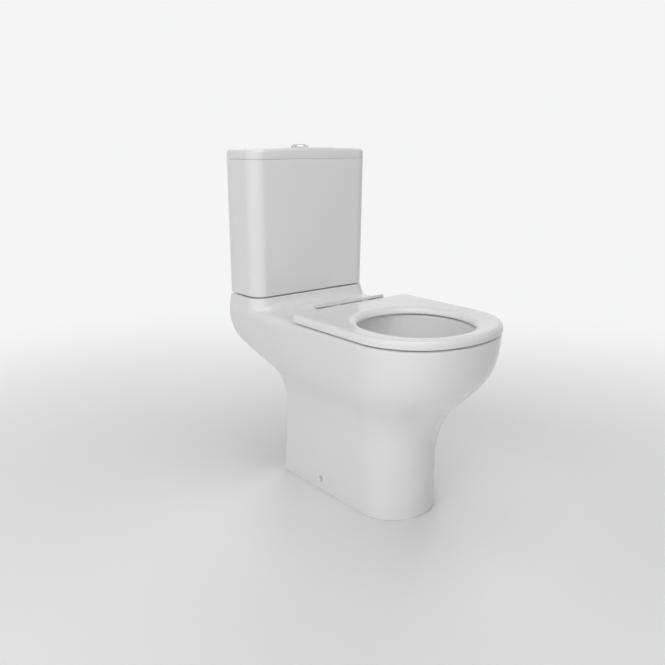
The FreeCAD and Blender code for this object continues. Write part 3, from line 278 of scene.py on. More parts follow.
# Y of the side's grid lines: across the fixing hole, on to the shelf's corner, and then to the wall. The
# space under the shelf starts half-way round the corner. BACK_TURN rounds off the back edges.
CELLS = np.linspace(-1, 1, 9)
PAST_HOLE = HOLE_Y + 2.7 * HOLE_PATCH
CORNER_LINES = SHELF_CORNER_Y - (SHELF_R + SHELF_HOLLOW) * np.sin(RIM_SWING)
WALL_LINES = np.linspace(SHELF_CORNER_Y + 6, WALL_Y - BACK_ROUND, 13)
SIDE_LINES = np.concatenate([
    HOLE_Y + HOLE_PATCH * np.concatenate([[-2], CELLS, [2]]),
    np.linspace(PAST_HOLE, CORNER_LINES[0], 20, endpoint=False), CORNER_LINES, WALL_LINES])
INSIDE_LINES = np.concatenate([CORNER_LINES[len(CORNER_LINES) // 2:], WALL_LINES])
BACK_TURN = np.linspace(0, np.pi / 2, 6)


def skin_half(z, inset):
    """Right half of the skin at each height, moved in by the inset, from the front to the back edge: the
    arched front, then lines across the side, which stop at the open back."""
    z = column(z)
    front_radius, side_radius = flared(FOOT_FRONT_R, RIM_FRONT_R, z), flared(FOOT_SIDE_R, RIM_SIDE_R, z)
    x, y, nx, ny = arched_front(skin_half_width(z), skin_front(z), front_radius, side_radius, 20)
    share = np.linspace(0, 1, 9)[1:-1]
    front_side = y[:, -1:] + (SIDE_LINES[0] - y[:, -1:]) * share
    back_side = np.minimum(SIDE_LINES, back_y(z) - BACK_ROUND)
    side_y = np.concatenate([front_side, back_side], axis=1)
    side_x = np.repeat(skin_half_width(z), side_y.shape[1], axis=1)
    x = np.concatenate([x - inset * nx, side_x - inset], axis=1)
    y = np.concatenate([y - inset * ny, side_y], axis=1)
    return x, y


def back_edge(z, inner_z):
    """The wall's rounded back edges, each a quarter circle from the outer or the inner face to the back."""
    turns = np.concatenate([BACK_TURN[1:], np.pi / 2 + BACK_TURN[:-1]])
    inside = np.arange(len(turns)) >= len(turns) / 2
    height = np.where(inside, column(inner_z), column(z))
    middle = np.where(inside, PAN_WALL - BACK_ROUND, BACK_ROUND)
    x = skin_half_width(height) - middle + BACK_ROUND * np.cos(turns)
    y = back_y(height) - BACK_ROUND + BACK_ROUND * np.sin(turns)
    return x, y, height


def wall_ribbon():
    """The pan's wall: its level section, out along the skin, round the back edge and in along the inner
    face, carried from the floor to the rim. The lowest rows round off the foot's edges. From a level on,
    the inner rows run ahead of the outer ones, to end at the deck's underside."""
    above_hole, level_to = 48.0, 248.0
    foot = FOOT_EDGE * np.array([0, 0.15, 0.5, 1])
    hole_rows = HOLE_Z + HOLE_PATCH * CELLS
    low_rows, high_rows = np.linspace(above_hole, level_to, 26), np.linspace(level_to + 4, RIM_BASE, 62)
    z = np.concatenate([foot, [10], hole_rows, low_rows, high_rows])
    edge_break = column(FOOT_EDGE - np.sqrt(FOOT_EDGE ** 2 - np.maximum(FOOT_EDGE - z, 0) ** 2))
    outer_x, outer_y = skin_half(z, edge_break)
    inner_z = z + (DECK_BELOW - RIM_BASE) * np.maximum((z - level_to) / (RIM_BASE - level_to), 0)
    inner_x, inner_y = skin_half(inner_z, PAN_WALL - edge_break)
    wall = both_sides(np.concatenate([
        sheet_of(outer_x, outer_y, column(z)),
        sheet_of(*back_edge(z, inner_z)),
        sheet_of(inner_x, inner_y, column(inner_z))[:, ::-1]], axis=1))
    faces = quads(wall)
    middle = wall.reshape(-1, 3)[faces].mean(axis=1)
    at_hole = (abs(middle[:, 1] - HOLE_Y) < HOLE_PATCH) & (abs(middle[:, 2] - HOLE_Z) < HOLE_PATCH)
    sole = np.stack([sheet_of(inner_x[0], inner_y[0], 0.0), sheet_of(outer_x[0], outer_y[0], 0.0)])
    return [(wall, faces[~at_hole]), both_sides(sole)]


def drilled_hole(radius, patch, depth, surface):
    """A hole through a flat wall, from the square patch on its face to the one on its back: rings that go
    from square to round, over a glazed edge, down the bore and out again. eighth counts the eighths of a
    turn, and surface places the points."""
    eighth = np.linspace(0, 8, 33)
    across, up = np.cos(eighth * np.pi / 4), np.sin(eighth * np.pi / 4)
    square_across = patch * np.clip(abs(eighth - 4) - 2, -1, 1)
    square_up = patch * np.clip(abs((eighth - 2) % 8 - 4) - 2, -1, 1)
    edge_out, edge_deep = np.array([1.4, 0.6, 0.15, 0]), np.array([0, 0.25, 0.8, 1.6])
    radii = radius + column(np.concatenate([edge_out, edge_out[::-1]]))
    depths = column(np.concatenate([[0], edge_deep, depth - edge_deep[::-1], [depth]]))
    along = np.concatenate([[square_across], radii * across, [square_across]])
    return surface(along, np.concatenate([[square_up], radii * up, [square_up]]), depths)


def fixing_hole(side):
    """Hole through the foot's wall on one side, for a screw into the floor."""
    def surface(along, up, depth):
        z = HOLE_Z + up
        return sheet_of(side * (skin_half_width(z) - depth), HOLE_Y + side * along, z)
    return drilled_hole(HOLE_R, HOLE_PATCH, PAN_WALL, surface)


# The bowl keeps a ledge from the skin at its sides and a band at its front. Its back leans forwards.
BOWL_LEDGE, BOWL_BAND, BOWL_BACK_REACH, BOWL_LEAN, BOWL_DEPTH = 52.0, 39.0, 337.0, 29.0, 327.0
BOWL_MIDDLE_Y = -148.0


def bowl_oval(z, grown, towards):
    """Bowl's inner oval at a height, grown by a distance, at the given directions from its middle: an
    ellipse that keeps its distance from the skin at the front and the sides."""
    front = skin_front(z) + BOWL_BAND
    back = WALL_Y - (BOWL_BACK_REACH + BOWL_LEAN * (RIM - z) / BOWL_DEPTH)
    half_width, half_length = skin_half_width(z) - BOWL_LEDGE + grown, (back - front) / 2 + grown
    reach = 1 / np.hypot(np.cos(towards) / half_width, np.sin(towards) / half_length)
    return reach * np.cos(towards), (front + back) / 2 + reach * np.sin(towards)


def shelf_side(z):
    """Half width of the shelf: it carries on from the skin and leans in towards the cistern, by a power of
    the height above the skin."""
    rise = np.clip((z - RIM_BASE) / (SHELF_TOP - RIM_BASE), 0, 1)
    return skin_half_width(z) - (skin_half_width(SHELF_TOP) - SHELF_HALF_WIDTH) * rise ** 1.8


def rim_rounding():
    """Rim's rounding from the skin to the deck: quarter circles, tight under the seat and wider behind it.
    Where the shelf's corner comes down, each stops at the shelf's foot."""
    tight, widens_from, widens_over = 6.0, 20.0, 90.0
    share = column(np.linspace(0, 1, 10))
    turn = share * np.pi / 2
    front_z = np.concatenate([[RIM_BASE], (RIM - tight + tight * np.sin(turn))[:, 0]])
    front_in = tight * np.concatenate([[[0]], 1 - np.cos(turn)])
    x, y = (part[:, :-len(SIDE_LINES)] for part in skin_half(front_z, front_in))
    lines = SIDE_LINES[:-len(WALL_LINES)]
    behind_seat = np.clip((lines - widens_from) / widens_over, 0, 1)
    behind_seat = behind_seat ** 2 * (3 - 2 * behind_seat)
    bend = tight + (RIM_DROP - tight) * behind_seat
    stop = np.full(len(lines), np.pi / 2)
    stop[-len(RIM_SWING):] = np.arccos(1 - (SHELF_R + SHELF_HOLLOW) * (1 - np.cos(RIM_SWING)) / RIM_DROP)
    start = np.zeros((1, len(lines)))
    side_z = np.concatenate([start + RIM_BASE, RIM - bend + bend * np.sin(share * stop)])
    side_in = np.concatenate([start, bend * (1 - np.cos(share * stop))])
    half_width = skin_half_width(side_z) * (1 - behind_seat) + shelf_side(side_z) * behind_seat
    return np.concatenate([
        sheet_of(x, y, column(front_z)), sheet_of(half_width - side_in, lines, side_z)], axis=1)


def deck_top(rounding, flanks):
    """Deck from the rounding and the shelf's foot straight in to the mouth, over its lip and down to the
    bowl, along lines from the bowl's middle."""
    on_rim = rounding[-1, :1 - len(RIM_SWING)]
    at_shelf = flanks[0, :-len(RIM_SWING) - len(WALL_LINES) - len(BACK_TURN[1:])][::-1]
    edge_x, edge_y = np.concatenate([on_rim, at_shelf])[None, :, :2].transpose(2, 0, 1)
    towards = np.arctan2(edge_y - BOWL_MIDDLE_Y, edge_x)
    lip = 5.0
    mouth_x, mouth_y = bowl_oval(RIM, lip, towards)
    across = column(np.linspace(0, 1, 12))
    deck_x, deck_y = edge_x + (mouth_x - edge_x) * across, edge_y + (mouth_y - edge_y) * across
    over = column(np.linspace(0, np.pi / 2, 7)[1:])
    lip_z = RIM - lip * (1 - np.cos(over))
    throat_z = column(np.linspace(RIM - lip, DECK_BELOW, 4)[1:])
    return np.concatenate([
        sheet_of(deck_x, deck_y, RIM),
        sheet_of(*bowl_oval(lip_z, lip * (1 - np.sin(over)), towards), lip_z),
        sheet_of(*bowl_oval(throat_z, 0.0, towards), throat_z)])


def shelf_flanks():
    """Shelf's front, corners and sides. At the front a hollow quarter-circle fillet rises from the deck;
    round the corner its foot drops along the rim's rounding, and the sides carry on from the skin."""
    edge, front_lines, rows, edge_rows = 2.0, 16, 12, 5
    turn = np.linspace(0, np.pi / 2, rows)
    sweep = np.concatenate([SHELF_HOLLOW * (1 - np.sin(turn)), np.zeros(edge_rows)])
    rise_front = np.concatenate([1 - np.cos(turn), np.ones(edge_rows)])
    rise_side = np.concatenate([np.linspace(0, 1, rows), np.ones(edge_rows)])
    over = np.concatenate([np.zeros(rows), np.linspace(0, np.pi / 2, edge_rows)])
    set_in = column(edge * (1 - np.cos(over)))
    swing = np.concatenate([np.full(front_lines, np.pi / 2), DECK_SWING, RIM_SWING, 0 * WALL_LINES])
    lines = np.ones_like(swing)
    lines[:front_lines] = np.linspace(0, 1, front_lines, endpoint=False)
    behind = np.zeros_like(swing)
    behind[-len(WALL_LINES):] = WALL_LINES - SHELF_CORNER_Y
    away = np.minimum((SHELF_R + SHELF_HOLLOW) * (1 - np.cos(swing)), RIM_DROP)
    foot = RIM_BASE + np.sqrt(RIM_DROP ** 2 - (RIM_DROP - away) ** 2)
    as_side = (RIM - foot) / RIM_DROP
    rise = as_side * column(rise_side) + (1 - as_side) * column(rise_front)
    z = foot + (SHELF_TOP - edge - foot) * rise + column(edge * np.sin(over))
    half_width = shelf_side(np.minimum(z, SHELF_TOP - edge))
    radius = SHELF_R + column(sweep)
    x = (half_width - radius) * lines + (radius - set_in) * np.cos(swing)
    y = SHELF_CORNER_Y - (radius - set_in) * np.sin(swing) + behind
    end_x = x[:, -1:] - BACK_ROUND * (1 - np.cos(BACK_TURN[1:]))
    end_y = y[:, -1:] + BACK_ROUND * np.sin(BACK_TURN[1:])
    return np.concatenate([sheet_of(x, y, z), sheet_of(end_x, end_y, z[:, -1:])], axis=1)


def shelf_top(flanks):
    """Level top behind the flanks' front edge: lines that run back to the wall, and are drawn in at the
    rounded back corner."""
    corner = -len(WALL_LINES) - len(BACK_TURN)
    front, side = flanks[-1, :corner + 1], flanks[-1, corner:]
    back_share = column((side[:, 1] - SHELF_CORNER_Y) / (WALL_Y - SHELF_CORNER_Y))
    drawn_in = column(side[:, 0] / side[0, 0])
    return sheet_of(front[:, 0] * drawn_in, front[:, 1] + (WALL_Y - front[:, 1]) * back_share, SHELF_TOP)


def shelf_inside(flanks, top):
    """Space under the shelf: its sides lean in and turn into a level ceiling, a flat end closes its front,
    and at the back a rounded edge leads to the flat face between it and the flanks. The rounding goes
    along the section's normals, and at the foot straight out."""
    outer = np.concatenate([flanks[:, -1], top[-1, -2::-1]])
    foot_x, bend_radius = skin_half_width(DECK_BELOW) - PAN_WALL, 14.0
    corners = [(foot_x, DECK_BELOW), (SHELF_SPACE, SHELF_BELOW), (0, SHELF_BELOW)]
    bend = rounded_path(corners, [bend_radius], 16)[:-1]
    level = len(outer) - len(bend)
    x = np.concatenate([bend[:, 0], np.linspace(bend[-1, 0], 0, level + 1)[1:]])
    z = np.concatenate([bend[:, 1], np.full(level, SHELF_BELOW)])
    along = np.stack([np.gradient(x), np.gradient(z)])
    outward = np.stack([along[1], -along[0]]) / np.linalg.norm(along, axis=0)
    outward[:, 0] = 1, 0
    turn = column(BACK_TURN[1:])
    edge_x, edge_z = (
        line + BACK_ROUND * (1 - np.cos(turn)) * side for line, side in zip((x, z), outward))
    edge_y = WALL_Y - BACK_ROUND + BACK_ROUND * np.sin(turn)
    space = np.concatenate([
        sheet_of(x, column(INSIDE_LINES), z), sheet_of(edge_x, edge_y, edge_z), outer[None]])
    end = sheet_of(x, INSIDE_LINES[0], np.stack([np.full_like(z, DECK_BELOW), z]))
    return [both_sides(part[:, ::-1]) for part in (space, end)]


flanks, rounding = shelf_flanks(), rim_rounding()
top = shelf_top(flanks)
pan = make_piece("pan_casting", [
    *wall_ribbon(),
    fixing_hole(1), fixing_hole(-1),
    *(both_sides(half) for half in (rounding, deck_top(rounding, flanks), flanks, top)),
    *shelf_inside(flanks, top),
], china)
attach(pan, "fixture")
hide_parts("pan_foot", "pan_skirt", "pan_deck")

# Bowl, trap and flush inlet: the waterways inside the same casting, glazed all through. The bowl is
# seen through the seat, the trap and the inlet's bend from behind.


def coat_nodes(material, *names):
    """Gives CAD nodes a material in place of their plain one."""
    for name in names:
        mesh = frame["nodes"][name].data
        mesh.materials.clear()
        mesh.materials.append(material)


coat_nodes(china, "pan_bowl", "pan_trap", "pan_inlet")


def flush_spreader():
    """Shield over the flush inlet at the back of the bowl: it follows the bowl's wall and stands away from
    it by a bump that grows towards its lower edge. Rows go down its face and up its back."""
    stands_out, sunk, thick, tall, half_angle = 10.0, 0.6, 3.0, 72.0, 0.42
    lip_back, lip_down, starts_z = column([0.8, 2.2]), column([1.012, 1.012]), DECK_BELOW - 0.5
    sideways = np.linspace(-1, 1, 41)
    swell = np.cos(np.pi / 2 * sideways) ** 2
    down = column(np.linspace(0, 1, 24))
    face = stands_out * swell * down ** 1.5 - sunk
    lip = face[-1:] - lip_back * swell
    bump = np.concatenate([face, lip, (face - thick * swell)[::-1], face[:1]])
    down = np.concatenate([down, lip_down, down[::-1], down[:1]])
    z = starts_z - tall * down
    x, y = bowl_oval(z, -bump, np.pi / 2 - half_angle * sideways)
    return sheet_of(x, y, z)


spreader = make_piece("flush_spreader", [flush_spreader()], china)
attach(spreader, "fixture")

# Coupling: a thick rubber ring seals the cistern's outlet to the pan's inlet, and two plated bolts with
# washers and wing nuts draw the cistern down on its rubber pads.

SOOT, COAL = (0.022, 0.022, 0.023, 1), (0.034, 0.034, 0.034, 1)
ZINC, DULL_ZINC = (0.6, 0.6, 0.58, 1), (0.5, 0.5, 0.49, 1)

rubber, _ = mottled_finish(
    "black_rubber", SOOT, COAL,
    drift=(80, 3), roughness=(500, 3, 0.55, 0.72), ripple=(1500, 2, 0.2, 0.0001))
steel, shader = mottled_finish(
    "plated_steel", ZINC, DULL_ZINC,
    drift=(90, 4), roughness=(260, 4, 0.22, 0.38), ripple=(900, 3, 0.08, 0.0001))
shader.inputs["Metallic"].default_value = 1.0

coat_nodes(
    rubber, "doughnut_seal", "cistern_pad_left", "cistern_pad_right", "bolt_seal_left", "bolt_seal_right")
coat_nodes(
    steel, "coupling_bolt_left", "coupling_bolt_right", "bolt_washer_left", "bolt_washer_right",
    "wing_nut_left", "wing_nut_right")

# Cistern: a deep china tank, a little wider at the top, on two pads on the shelf. Its back is flat
# against the wall, with two screw holes near the top.

tank_low, tank_high = millimetres(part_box("cistern"))
TANK_BASE, TANK_TOP = tank_low[2], tank_high[2]
TANK_WIDENS, TANK_LEANS, TANK_WALL, TANK_FLOOR = 7.0, 3.0, 10.0, TANK_BASE + 13
TANK_HALF_WIDTH, TANK_FRONT, TANK_MIDDLE_Y = tank_high[0] - TANK_WIDENS, tank_low[1] + TANK_LEANS, 273.0
TANK_CORNER, TANK_BACK_CORNER, PAST_CORNER = 35.0, 3.0, 3.5
(_, _, SCREW_Z), screws = mount("wall_screws")
SCREW_X, SCREW_R, SCREW_PATCH = screws["spacing_x_mm"] / 2, screws["hole_r_mm"], 8.0


def tank_half(half_width, front, inset, back_lines):
    """Right half of a tank's level outline, moved in by the inset, from the middle of the front to the
    middle of the back: straight front, rounded corner, straight side, small corner, straight back."""
    corner, small, side_end = TANK_CORNER, abs(TANK_BACK_CORNER - inset), WALL_Y - 30
    share = np.linspace(0, 1, 14, endpoint=False)
    turn = np.linspace(-np.pi / 2, 0, 18)
    end_turn = np.linspace(0, np.pi / 2, 5)
    rows = np.broadcast_shapes(np.shape(half_width), np.shape(front), np.shape(inset))
    half_width, front, inset = (np.broadcast_to(v, rows) for v in (half_width, front, inset))
    front_x = (half_width - corner) * share
    corner_x = half_width - corner + (corner - inset) * np.cos(turn)
    side_y = front + corner + (side_end - front - corner) * np.linspace(0, 1, 8)[1:]
    end_x = half_width - inset - small + small * np.cos(end_turn)
    back_x = np.minimum(back_lines, end_x[:, -1:])
    x = np.concatenate([front_x, corner_x, half_width - inset + 0 * side_y, end_x, back_x], axis=1)
    y = np.concatenate([
        front + inset + 0 * front_x,
        front + corner + (corner - inset) * np.sin(turn),
        side_y,
        WALL_Y - inset - small + small * np.sin(end_turn),
        WALL_Y - inset + 0 * back_x], axis=1)
    return x, y


def tank_sheet():
    """Tank in one sheet: from the middle of its base, round the lower edge, up the outside, over the
    rim, down the inside and over the floor to its middle."""
    base, rim = 4.0, 1.5
    turn = np.linspace(0, np.pi / 2, 6)
    below_screws = np.linspace(TANK_BASE + 15, SCREW_Z - 20, 12)
    outside = np.concatenate([below_screws, SCREW_Z + SCREW_PATCH * CELLS, [TANK_TOP - 25]])
    inset = np.concatenate([
        base * (1 - np.sin(turn)), 0 * outside,
        rim * (1 - np.cos(turn)), TANK_WALL - rim * np.cos(turn[::-1]),
        0 * outside + TANK_WALL, TANK_WALL + base * (1 - np.cos(turn))])
    z = np.concatenate([
        TANK_BASE + base * (1 - np.cos(turn)), outside,
        TANK_TOP - rim * (1 - np.sin(turn)), TANK_TOP - rim * (1 - np.cos(turn)),
        outside[::-1], TANK_FLOOR + base * (1 - np.sin(turn))])
    share = column((z - TANK_BASE) / (TANK_TOP - TANK_BASE))
    back_lines = np.concatenate([
        np.linspace(TANK_HALF_WIDTH - PAST_CORNER, SCREW_X + 2 * SCREW_PATCH, 6),
        SCREW_X - SCREW_PATCH * CELLS, np.linspace(SCREW_X - 2 * SCREW_PATCH, 0, 5)])
    half_width, front = TANK_HALF_WIDTH + TANK_WIDENS * share, TANK_FRONT - TANK_LEANS * share
    grid = sheet_of(*tank_half(half_width, front, column(inset), back_lines), column(z))
    outward = column(np.linspace(0, 1, 6)[:-1])[:, :, None]
    under, floor = (
        row * outward + (1 - outward) * (row * np.array([0, 0, 1]) + np.array([0, TANK_MIDDLE_Y, 0]))
        for row in (grid[:1], grid[-1:]))
    grid = both_sides(np.concatenate([under, grid, floor[::-1]]))
    faces = quads(grid)
    at = grid.reshape(-1, 3)[faces].mean(axis=1)
    drilled = (
        (abs(abs(at[:, 0]) - SCREW_X) < SCREW_PATCH) & (abs(at[:, 2] - SCREW_Z) < SCREW_PATCH)
        & (at[:, 1] > WALL_Y - TANK_WALL - 1))
    return grid, faces[~drilled]


def screw_hole(side):
    """Hole through the tank's back for a wall screw."""
    def surface(along, up, depth):
        return sheet_of(side * SCREW_X - along, WALL_Y - depth, SCREW_Z + up)
    return drilled_hole(SCREW_R, SCREW_PATCH, TANK_WALL, surface)


cistern = make_piece("cistern_tank", [tank_sheet(), screw_hole(1), screw_hole(-1)], china)
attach(cistern, "fixture")
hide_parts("cistern")

# Flush valve and fill valve: injection-moulded satin plastic, white with blue moving parts. Each is
# clamped through the cistern's floor by a nut on a rubber washer.

MILK, BONE = (0.82, 0.82, 0.8, 1), (0.78, 0.78, 0.755, 1)
BLUE, DEEP_BLUE = (0.055, 0.13, 0.36, 1), (0.045, 0.11, 0.31, 1)

white_plastic, _ = mottled_finish(
    "satin_white_plastic", MILK, BONE,
    drift=(30, 2), roughness=(300, 3, 0.34, 0.46), ripple=(1200, 2, 0.12, 0.0001))
blue_plastic, _ = mottled_finish(
    "satin_blue_plastic", BLUE, DEEP_BLUE,
    drift=(30, 2), roughness=(300, 3, 0.34, 0.46), ripple=(1200, 2, 0.12, 0.0001))

coat_nodes(
    white_plastic, "flush_valve_body", "flush_valve_tower", "flush_back_nut",
    "fill_valve_body", "fill_valve_cap", "fill_valve_nut", "fill_float", "fill_arm")
coat_nodes(blue_plastic, "flush_plunger", "half_flush_float", "lever_full", "lever_half")
coat_nodes(rubber, "flush_seal", "flush_valve_washer", "fill_valve_washer")
coat_nodes(steel, "float_rod", "fill_arm_pin", "lever_pin_full", "lever_pin_half")

# Lid: a shallow china cover with a soft top edge, lifted straight off. A lip under it drops inside
# the tank, and the push button is clamped through the hole in its middle.

(_, LID_FRONT, LIP_END), (LID_HALF_WIDTH, _, LID_TOP) = millimetres(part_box("cistern_lid"))
LID_BASE, LID_BELOW, LID_ROUND, LID_CROWN = TANK_TOP + 0.3, LID_TOP - 10, 8.0, 6.0
LIP_OUTSIDE, LIP_INSIDE = 12.0, 18.0
BUTTON_R, BUTTON_Y = 19.0, TANK_MIDDLE_Y


def lid_line(inset, back_lines):
    """Right half of the lid's outline, each point moved in by its own inset."""
    x, y = tank_half(LID_HALF_WIDTH, LID_FRONT, np.zeros((1, 1)), back_lines)
    inner_x, inner_y = tank_half(LID_HALF_WIDTH, LID_FRONT, np.ones((1, 1)), back_lines)
    return x + (inner_x - x) * inset, y + (inner_y - y) * inset


def lid_drop(x):
    """How far the lid's top is below its crown: a shallow parabola, then the rounding at the two sides."""
    past = np.clip(LID_ROUND - (LID_HALF_WIDTH - abs(x)), 0, LID_ROUND)
    return LID_CROWN * (x / LID_HALF_WIDTH) ** 2, LID_ROUND - np.sqrt(LID_ROUND ** 2 - past ** 2)


def lid_sheet():
    """Lid in one closed band: from the hole out under the cover, down and up round the lip, round the
    lower edge, up the side, over the soft edge, in over the crowned top, and down through the hole."""
    back_round, lines_from = 1.2, LID_HALF_WIDTH - PAST_CORNER
    turn = column(np.linspace(0, np.pi / 2, 9))
    back_lines = np.concatenate([
        np.linspace(lines_from, lines_from - 14, 8), np.linspace(lines_from - 21, 0, 10)])
    facing_back = np.clip(lid_line(0, back_lines)[1] - lid_line(1, back_lines)[1], 0, 1)
    soft = LID_ROUND + (back_round - LID_ROUND) * facing_back
    low_rows = column([
        LIP_INSIDE, LIP_INSIDE, LIP_INSIDE - 1, LIP_OUTSIDE + 1, LIP_OUTSIDE, LIP_OUTSIDE, 1, 0.3, 0])
    low_z = column([
        LID_BELOW, LIP_END + 1, LIP_END, LIP_END, LIP_END + 1,
        LID_BASE, LID_BASE, LID_BASE + 0.3, LID_BASE + 1])
    low = sheet_of(*tank_half(LID_HALF_WIDTH, LID_FRONT, low_rows, back_lines), low_z)
    x, y = lid_line(soft * (1 - np.cos(turn)), back_lines)
    edge = sheet_of(x, y, LID_TOP - soft * (1 - np.sin(turn)) - lid_drop(x)[0] - lid_drop(x[-1])[1])
    around = np.arctan2(y[-1] - BUTTON_Y, x[-1])
    hole = sheet_of(BUTTON_R * np.cos(around), BUTTON_Y + BUTTON_R * np.sin(around), LID_TOP)
    inward = column(np.concatenate([[0.015, 0.03, 0.05], np.arange(1, 9) / 8]))[:, :, None]
    top = edge[-1] + (hole - edge[-1]) * inward
    top[..., 2] = LID_TOP - sum(lid_drop(top[..., 0]))
    under_hole = hole - np.array([0, 0, LID_TOP - LID_BELOW])
    return both_sides(np.concatenate([[under_hole], low, edge, top, [under_hole]]))


lid = make_piece("cistern_cover", [lid_sheet()], china)
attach(lid, "lid")
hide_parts("cistern_lid")

# Push button: two chrome-plated halves in a ring, clamped to the lid by a plastic nut. Each half stands
# on a steel spring in the guide and pushes a plastic rod down to the flush valve.

CHROME, DULL_CHROME = (0.62, 0.625, 0.63, 1), (0.56, 0.565, 0.575, 1)

chrome, shader = mottled_finish(
    "polished_chrome", CHROME, DULL_CHROME,
    drift=(60, 3), roughness=(220, 4, 0.05, 0.12), ripple=(400, 2, 0.03, 0.0001))
shader.inputs["Metallic"].default_value = 1.0

coat_nodes(chrome, "button_bezel", "button_full", "button_half")
coat_nodes(white_plastic, "button_nut", "button_guide", "push_rod_full", "push_rod_half")
coat_nodes(steel, "button_spring_full", "button_spring_half")

# Seat hinge: a polished bar across two posts, chrome-plated brass. Each post stands on a rubber gasket
# and is clamped through the deck by a plastic nut.

coat_nodes(chrome, "hinge_bar", "hinge_post_left", "hinge_post_right")
coat_nodes(rubber, "post_gasket_left", "post_gasket_right")
coat_nodes(white_plastic, "post_nut_left", "post_nut_right")

# Seat: a moulded gloss-white ring with a broad dished top and an oval opening, carried by two hooks
# on the hinge bar and resting on four soft buffers.

SEAT_WHITE, COOL_SEAT = (0.87, 0.87, 0.862, 1), (0.86, 0.862, 0.86, 1)
hinge = next(joint for joint in frame["joints"] if joint["name"] == "seat_hinge")
_, BAR_Y, BAR_Z = millimetres(hinge["pos_m"])
(_, SEAT_FRONT, SEAT_BASE), (SEAT_HALF_WIDTH, _, _) = millimetres(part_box("seat_ring"))
SEAT_TOP, SEAT_BACK, HOOK_X = SEAT_BASE + 18, BAR_Y - 5.3, 45.0
SEAT_CORNER, SEAT_FRONT_R, SEAT_SIDE_R = 18.0, 242.0, 156.0
OPENING_Y, OPENING_X_HALF, OPENING_Y_HALF = -152.0, 124.5, 127.5

seat_plastic, shader = mottled_finish(
    "gloss_white_seat", SEAT_WHITE, COOL_SEAT,
    drift=(14, 2), roughness=(70, 3, 0.14, 0.21), ripple=(160, 2, 0.06, 0.0003))
shader.inputs["Coat Weight"].default_value = 0.35
shader.inputs["Coat Roughness"].default_value = 0.05


def seat_outline():
    """Right half of the seat's outer outline, from the front's middle to the back's middle, and its outward
    normals: the arched front, a straight side, a small corner and a straight back."""
    half, corner = SEAT_HALF_WIDTH, SEAT_CORNER
    sizes = np.array([half, SEAT_FRONT, SEAT_FRONT_R, SEAT_SIDE_R]).reshape(4, 1, 1)
    x, y, nx, ny = (part[0] for part in arched_front(*sizes, 26))
    side_y = y[-1] + (SEAT_BACK - corner - y[-1]) * np.linspace(0, 1, 22)[1:-1]
    turn = np.linspace(0, np.pi / 2, 10)
    back_x = (half - corner) * np.linspace(1, 0, 16)[1:]
    return (
        np.concatenate([x, half + 0 * side_y, half - corner + corner * np.cos(turn), back_x]),
        np.concatenate([y, side_y, SEAT_BACK - corner + corner * np.sin(turn), SEAT_BACK + 0 * back_x]),
        np.concatenate([nx, 1 + 0 * side_y, np.cos(turn), 0 * back_x]),
        np.concatenate([ny, 0 * side_y, np.sin(turn), 1 + 0 * back_x]))


def seat_opening(grown, towards):
    """Opening grown by a distance, in the given directions: a superellipse, a little fuller than an oval."""
    grown, power = column(grown), 2.15
    reach = (abs(np.cos(towards) / (OPENING_X_HALF + grown)) ** power
             + abs(np.sin(towards) / (OPENING_Y_HALF + grown)) ** power) ** (-1 / power)
    return reach * np.cos(towards), OPENING_Y + reach * np.sin(towards)


def seat_ring():
    """Ring in one closed band: round its lower outer edge, up the side, over the outer rounding, across
    the dished top, over the soft inner edge, down the opening and back along the underside."""
    edge, outer, at_bar, inner, roll, dish = 2.0, 10.0, 3.0, 22.0, 13.0, 2.5
    turn = np.linspace(0, np.pi / 2, 11)
    line_x, line_y, nx, ny = seat_outline()
    bend = outer + (at_bar - outer) * np.clip(ny, 0, 1) ** 2
    low_bend = np.full_like(bend, edge)
    set_in = np.concatenate([np.outer(1 - np.sin(turn[::2]), low_bend), np.outer(1 - np.cos(turn), bend)])
    low_z = SEAT_BASE + np.outer(1 - np.cos(turn[::2]), low_bend)
    out_z = np.concatenate([low_z, SEAT_TOP - np.outer(1 - np.sin(turn), bend)])
    x, y = line_x - set_in * nx, line_y - set_in * ny
    towards = np.arctan2(y[-1:] - OPENING_Y, x[-1:])
    in_grown = np.concatenate([inner * (1 - np.sin(turn)), edge * (1 - np.cos(turn[::2]))])
    in_z = np.concatenate([
        SEAT_TOP - dish - roll * (1 - np.cos(turn)), SEAT_BASE + edge * (1 - np.sin(turn[::2]))])
    in_x, in_y = seat_opening(in_grown, towards)
    across = column(np.linspace(0, 1, 14)[1:-1])
    top_x, top_y = x[-1:] + (in_x[:1] - x[-1:]) * across, y[-1:] + (in_y[:1] - y[-1:]) * across
    top_z = SEAT_TOP - dish * across ** 2 * (3 - 2 * across)
    back = column(np.linspace(0, 1, 6)[1:])
    low_x, low_y = in_x[-1:] + (x[:1] - in_x[-1:]) * back, in_y[-1:] + (y[:1] - in_y[-1:]) * back
    return both_sides(np.concatenate([
        sheet_of(x, y, out_z), sheet_of(top_x, top_y, top_z),
        sheet_of(in_x, in_y, column(in_z)), sheet_of(low_x, low_y, SEAT_BASE)]))


def seat_hook(middle):
    """Hook under and behind the bar: a flat strap with rounded edges, carried round the bar's axis from one
    angle to another and closed at both ends."""
    inner, wall, width, soft, starts, ends = 4.85, 4.0, 24.0, 1.2, 205, 372
    turn = np.linspace(np.pi / 4, 2.25 * np.pi, 41)
    corner_r = np.sign(np.cos(turn)) * (wall / 2 - soft) + soft * np.cos(turn)
    corner_x = np.sign(np.sin(turn)) * (width / 2 - soft) + soft * np.sin(turn)
    swing = np.radians(column(np.concatenate([[starts], np.linspace(starts, ends, 40), [ends]])))
    full = column(np.concatenate([[0], np.ones(40), [0]]))
    radius = inner + wall / 2 + full * corner_r
    y, z = BAR_Y + radius * np.cos(swing), BAR_Z + radius * np.sin(swing)
    return sheet_of(middle + full * corner_x, y, z)


